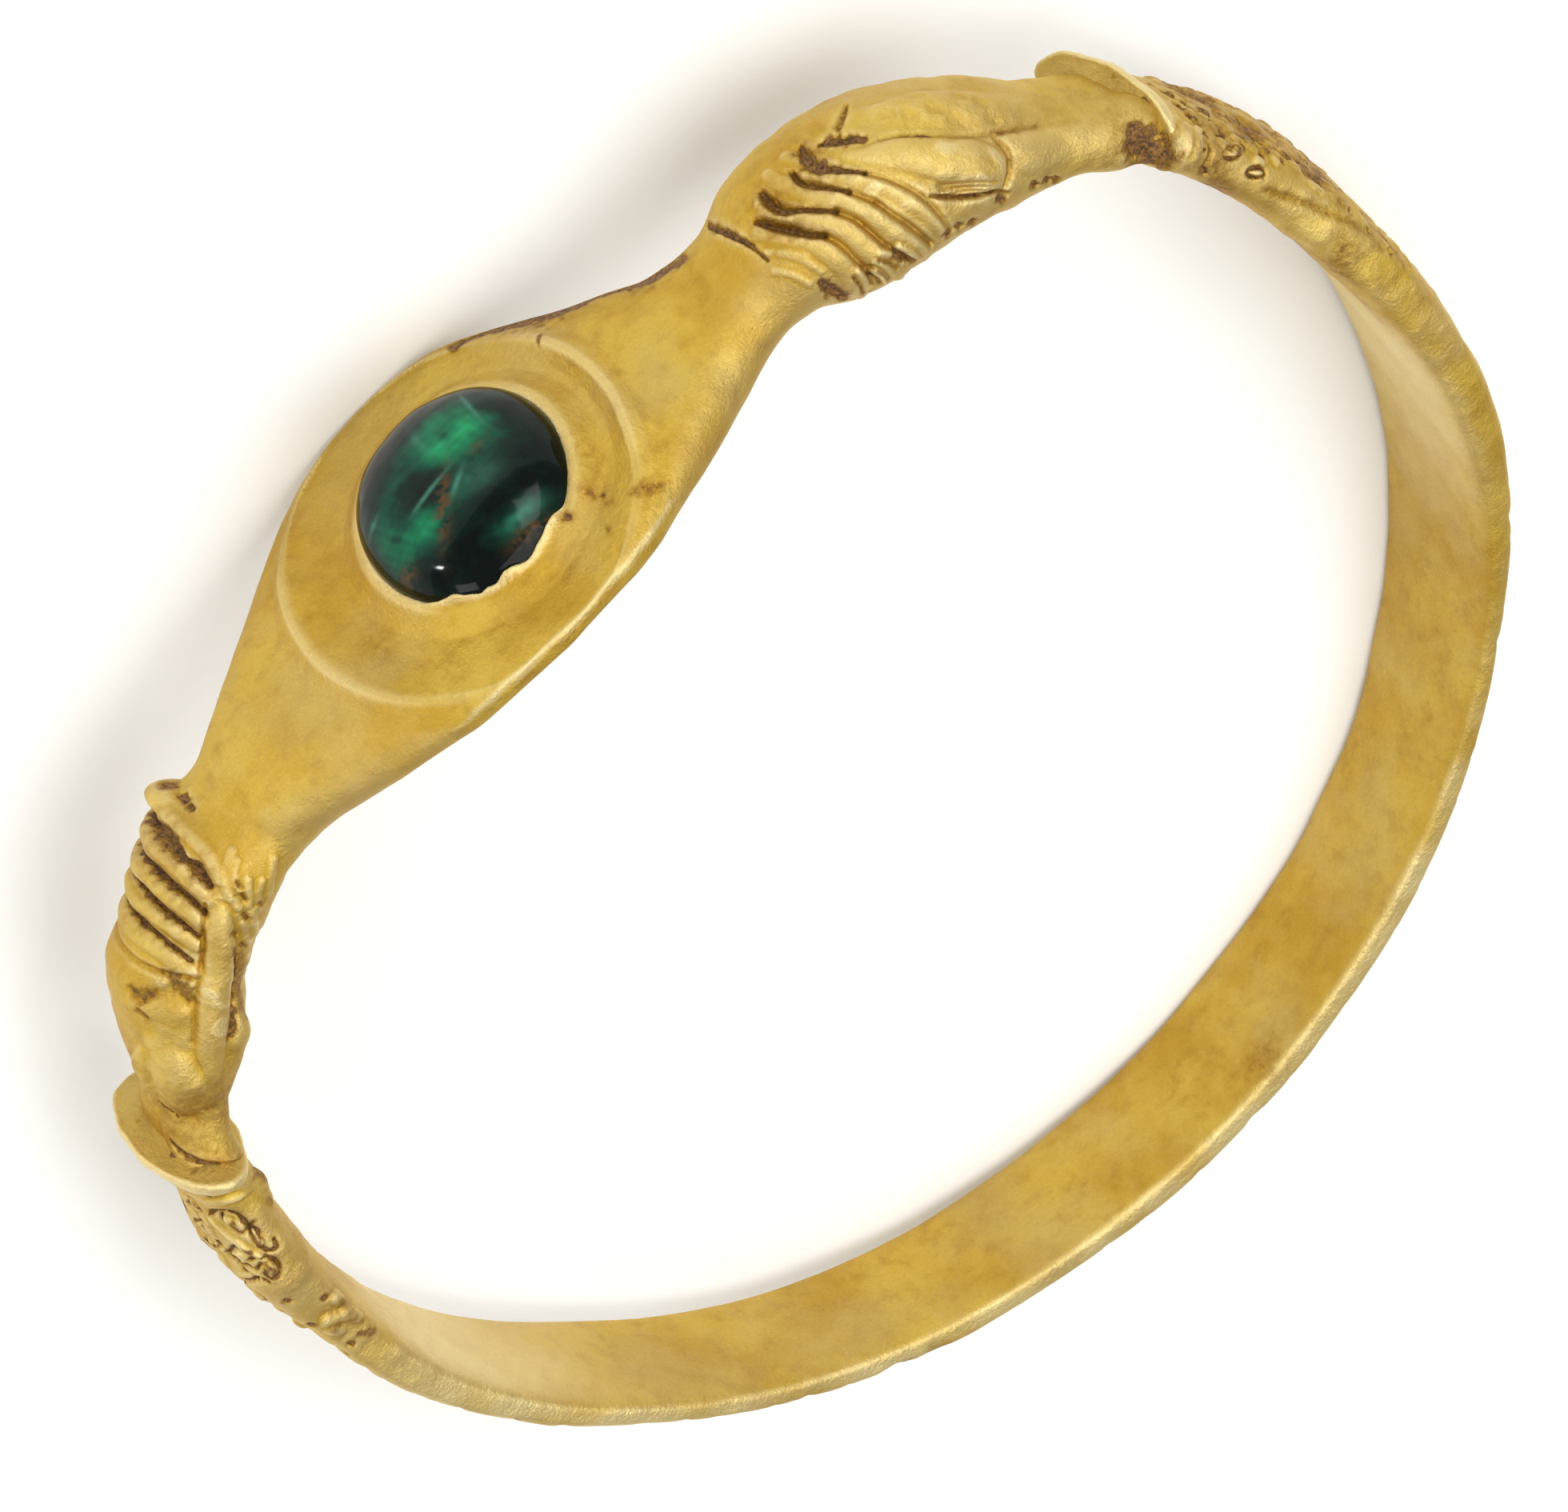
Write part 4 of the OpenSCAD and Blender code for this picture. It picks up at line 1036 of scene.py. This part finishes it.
def gold_material():
    """High-carat gold, cast, chased and worn smooth: warm yellow, satin, with earth left in its hollows.

    Fine rubbing and casting grain of 0.03 to 0.1 mm spreads its reflections so that it looks soft, patches
    a millimetre or two wide turn it from pale to deeper yellow, grey patches at random places are a painted
    reflection of the pale surround, worn edges and painted highlights are paler and smoother, a thin brown
    film lies round the dirt, and the dirt itself is dull, brown and crumbly.
    """
    material = blank_material("gold_cast_chased")
    place = node(material, "ShaderNodeTexCoord").outputs["Object"]
    scaled = node(material, "ShaderNodeMapping", {"Scale": IN_MM, "Vector": place}).outputs[0]
    grime, wear_and_painted_light = (
        node(material, "ShaderNodeAttribute", attribute_name=title).outputs["Fac"]
        for title in ("grime", "wear_and_painted_light")
    )
    # Noises from broad to fine: bumps a millimetre, detail, roughness and distortion
    greys, patches, mottle, specks, crumbs, grain = (
        node(material, "ShaderNodeTexNoise", dict(zip(NOISE, (scaled, *row)))).outputs[0]
        for row in (
            (0.5, 3, 0.5, 0), (0.7, 4, 0.55, 0), (3.2, 5, 0.6, 0), (11, 4, 0.7, 0), (17, 3, 0.6, 0),
            (24, 6, 0.7, 0.6),
        )
    )
    # Smooth shares: the noise, the two values it goes between, and the two that the share goes between
    smooth = {"interpolation_type": "SMOOTHSTEP"}
    reflected_grey, deepened, ochred, crumbly, lumps, satin = (
        node(material, "ShaderNodeMapRange", dict(zip(RANGE, row)), **smooth).outputs[0]
        for row in (
            (greys, 0.42, 0.66, 0.05, 0.5), (patches, 0.35, 0.65, 0, 1), (mottle, 0.45, 0.75, 0, 0.5),
            (specks, 0.3, 0.7, 0.7, 1.5), (crumbs, 0.35, 0.65, 0, 1), (grain, 0.3, 0.7, 0.42, 0.6),
        )
    )
    # Dirt breaks up into crumbs where there is little of it
    broken = node(material, "ShaderNodeMath", {0: grime, 1: crumbly}, operation="MULTIPLY").outputs[0]
    film, dirt = (
        node(material, "ShaderNodeMapRange", dict(zip(RANGE, (broken, *row))), **smooth).outputs[0]
        for row in ((0, 0.7, 0, 0.7), (0.45, 0.9, 0, 0.95))
    )
    metal = node(material, "ShaderNodeMapRange", dict(zip(RANGE, (dirt, 0, 1, 1, 0))), **smooth).outputs[0]
    earths = {0: lumps, 6: linear(EARTH_DARK), 7: linear(EARTH_LIGHT)}
    earth = node(material, "ShaderNodeMix", earths, data_type="RGBA").outputs[2]
    # Layers: deeper and ochre tone, grey patches painted as reflection, wear with painted highlights, brown
    # film, earth
    colour = linear(GOLD_PALE)
    for share, over in (
        (deepened, linear(GOLD_DEEP)), (ochred, linear(GOLD_OCHRE)), (reflected_grey, linear(GOLD_REFLECTED_GREY)),
        (wear_and_painted_light, linear(GOLD_WORN_AND_LIT)), (film, linear(GOLD_BROWN)), (dirt, earth),
    ):
        layers = {0: share, 6: colour, 7: over}
        colour = node(material, "ShaderNodeMix", layers, data_type="RGBA").outputs[2]
    # Roughness and height: a first value, to which others are added by their weights
    rough, height = satin, grain
    for value, weight in ((dirt, 0.3), (wear_and_painted_light, -0.1)):
        sums = {0: value, 1: weight, 2: rough}
        rough = node(material, "ShaderNodeMath", sums, operation="MULTIPLY_ADD").outputs[0]
    for value, weight in ((crumbs, 0.8), (dirt, -1.5), (mottle, 3)):
        sums = {0: value, 1: weight, 2: height}
        height = node(material, "ShaderNodeMath", sums, operation="MULTIPLY_ADD").outputs[0]
    depth = {"Strength": 0.75, "Distance": GRAIN_DEPTH, "Height": height}
    bump = node(material, "ShaderNodeBump", depth).outputs[0]
    finish = {"Base Color": colour, "Metallic": metal, "Roughness": rough, "Normal": bump}
    shader = node(material, "ShaderNodeBsdfPrincipled", finish)
    node(material, "ShaderNodeOutputMaterial", {"Surface": shader.outputs[0]})
    return material


def emerald_material():
    """Emerald cut en cabochon and polished: deep bluish green, darker where it is clear, with rust."""
    material = blank_material("emerald_polished")
    place = node(material, "ShaderNodeTexCoord").outputs["Object"]
    scaled = node(material, "ShaderNodeMapping", {"Scale": IN_MM, "Vector": place}).outputs[0]
    green, veil, rust = (
        node(material, "ShaderNodeAttribute", attribute_name=title).outputs["Fac"]
        for title in ("green", "veil", "rust")
    )
    feathers = node(material, "ShaderNodeTexNoise", dict(zip(NOISE, (scaled, 2.6, 7, 0.62, 0.7)))).outputs[0]
    broken = node(material, "ShaderNodeMath", {0: feathers, 1: 0.5}, operation="SUBTRACT").outputs[0]
    sums = {0: broken, 1: 0.28, 2: green}
    clear = node(material, "ShaderNodeMath", sums, operation="MULTIPLY_ADD").outputs[0]
    ramp = node(material, "ShaderNodeValToRGB", {"Fac": clear})
    while len(ramp.color_ramp.elements) < len(EMERALD_STOPS):
        ramp.color_ramp.elements.new(0.5)
    for element, (position, colour) in zip(ramp.color_ramp.elements, EMERALD_STOPS):
        element.position = position
        element.color = linear(colour)
    colour = ramp.outputs[0]
    for share, over in ((veil, EMERALD_VEIL), (rust, EMERALD_RUST)):
        layers = {0: share, 6: colour, 7: linear(over)}
        colour = node(material, "ShaderNodeMix", layers, data_type="RGBA").outputs[2]
    finish = {"Base Color": colour, "Roughness": 0.09, "IOR": 1.58, "Specular IOR Level": 0.1}
    shader = node(material, "ShaderNodeBsdfPrincipled", finish)
    node(material, "ShaderNodeOutputMaterial", {"Surface": shader.outputs[0]})
    return material


def floor_material():
    """Matte white card, so pale that the ring's gold takes its light from it."""
    material = blank_material("card_matte_white")
    finish = {"Base Color": linear("#F7F7F5"), "Roughness": 0.9}
    shader = node(material, "ShaderNodeBsdfPrincipled", finish)
    node(material, "ShaderNodeOutputMaterial", {"Surface": shader.outputs[0]})
    return material


# Half the side of the card, in metres
FLOOR_HALF = 0.5


def floor():
    """Flat card under the ring, one metre across."""
    mesh = bpy.data.meshes.new("floor_card")
    corners = [(x * FLOOR_HALF, y * FLOOR_HALF, 0) for x, y in ((-1, -1), (1, -1), (1, 1), (-1, 1))]
    mesh.from_pydata(corners, [], [(0, 1, 2, 3)])
    card = bpy.data.objects.new("floor_card", mesh)
    bpy.context.scene.collection.objects.link(card)
    mesh.materials.append(floor_material())
    return card


# Camera: its distance from the hoop's centre, the direction to it and its right side in the upright
# drawing position, its focal length in pixels of the photograph, and the pixel of the hoop's centre
CAMERA_DISTANCE = 0.25
TO_CAMERA = np.array([-0.0625, -0.7148, 0.6966])
CAMERA_RIGHT = np.array([-0.6850, 0.5384, 0.4909])
FOCAL_PIXELS = 24640
PHOTO_WIDTH, PHOTO_HEIGHT = 1960, 1890
CENTRE_PIXEL = (1018.27, 955.15)
SENSOR = 36.0


def camera():
    """Long lens at the photograph's angle, with the small shift that frames the ring as it does."""
    rest = laid(np.vstack([TO_CAMERA, CAMERA_RIGHT, np.zeros(3)]))
    back = rest[0] - rest[2]
    back /= np.linalg.norm(back)
    right = rest[1] - rest[2]
    right -= back * (right @ back)
    right /= np.linalg.norm(right)
    up = np.cross(back, right)
    data = bpy.data.cameras.new("camera")
    data.sensor_width = SENSOR
    data.lens = FOCAL_PIXELS / PHOTO_WIDTH * SENSOR
    data.shift_x = (PHOTO_WIDTH / 2 - CENTRE_PIXEL[0]) / PHOTO_WIDTH
    data.shift_y = (CENTRE_PIXEL[1] - PHOTO_HEIGHT / 2) / PHOTO_WIDTH
    data.clip_start = 0.01
    data.clip_end = 20
    made = bpy.data.objects.new("camera", data)
    turn = Matrix([Vector(right), Vector(up), Vector(back)]).transposed()
    made.matrix_world = Matrix.Translation(Vector(rest[2] + back * CAMERA_DISTANCE)) @ turn.to_4x4()
    bpy.context.scene.collection.objects.link(made)
    bpy.context.scene.camera = made


# Strength of the pale surround, and the point in metres that the lights face
SKY_STRENGTH = 0.61
LIT_POINT = Vector((0, 0, 0.002))
# Lights: name, place and side in metres, power in watts
LIGHTS = (
    ("overhead", (-0.1, -0.02, 0.5), 0.45, 1.9),
    ("side_left", (-0.32, -0.42, 0.3), 0.3, 1.1),
    ("side_right", (0.5, -0.1, 0.35), 0.2, 0.5),
    ("small_right", (0.315, -0.329, 0.034), 0.034, 0.36),
)


def light(name, place, size, power):
    """Square white area light at a place in metres, turned to the ring."""
    data = bpy.data.lights.new(name, "AREA")
    data.size = size
    data.energy = power
    made = bpy.data.objects.new(name, data)
    made.location = place
    made.rotation_euler = (LIT_POINT - Vector(place)).to_track_quat("-Z", "Y").to_euler()
    bpy.context.scene.collection.objects.link(made)


def studio():
    """Soft even light: a pale surround, a broad box overhead, weaker ones at the sides, a small one low."""
    world = bpy.data.worlds.new("studio")
    world.use_nodes = True
    sky = world.node_tree.nodes["Background"]
    sky.inputs["Color"].default_value = linear("#F4F4F4")
    sky.inputs["Strength"].default_value = SKY_STRENGTH
    bpy.context.scene.world = world
    for row in LIGHTS:
        light(*row)


camera()
studio()
bpy.context.scene.view_settings.view_transform = "Standard"
floor()

gold = gold_material()
# Name, the seams it lies between, rows, columns and the share of its inner side
STRETCHES = [
    ("bezel_and_stems", -30.5, 34.2, 330, 300, 0.3),
    ("hand_near", 34.2, 63.4, 330, 290, 0.4),
    ("sleeve_near", 63.4, 100, 300, 240, 0.5),
    ("hoop_back", 100, 260, 420, 110, 1.0),
    ("sleeve_far", -100, -62.4, 300, 240, 0.5),
    ("hand_far", -62.4, -30.5, 340, 290, 0.4),
]
pieces = [dressed(*stretch) for stretch in STRETCHES]
pieces.append(cuff("cuff_near", 1, NEAR_CUFF, 71))
pieces.append(cuff("cuff_far", -1, FAR_CUFF, 81))
for piece in pieces:
    piece.data.materials.append(gold)
    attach(piece, "root")
    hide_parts("gold_ring")
stone = emerald()
stone.data.materials.append(emerald_material())
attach(stone, "root")
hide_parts("emerald")
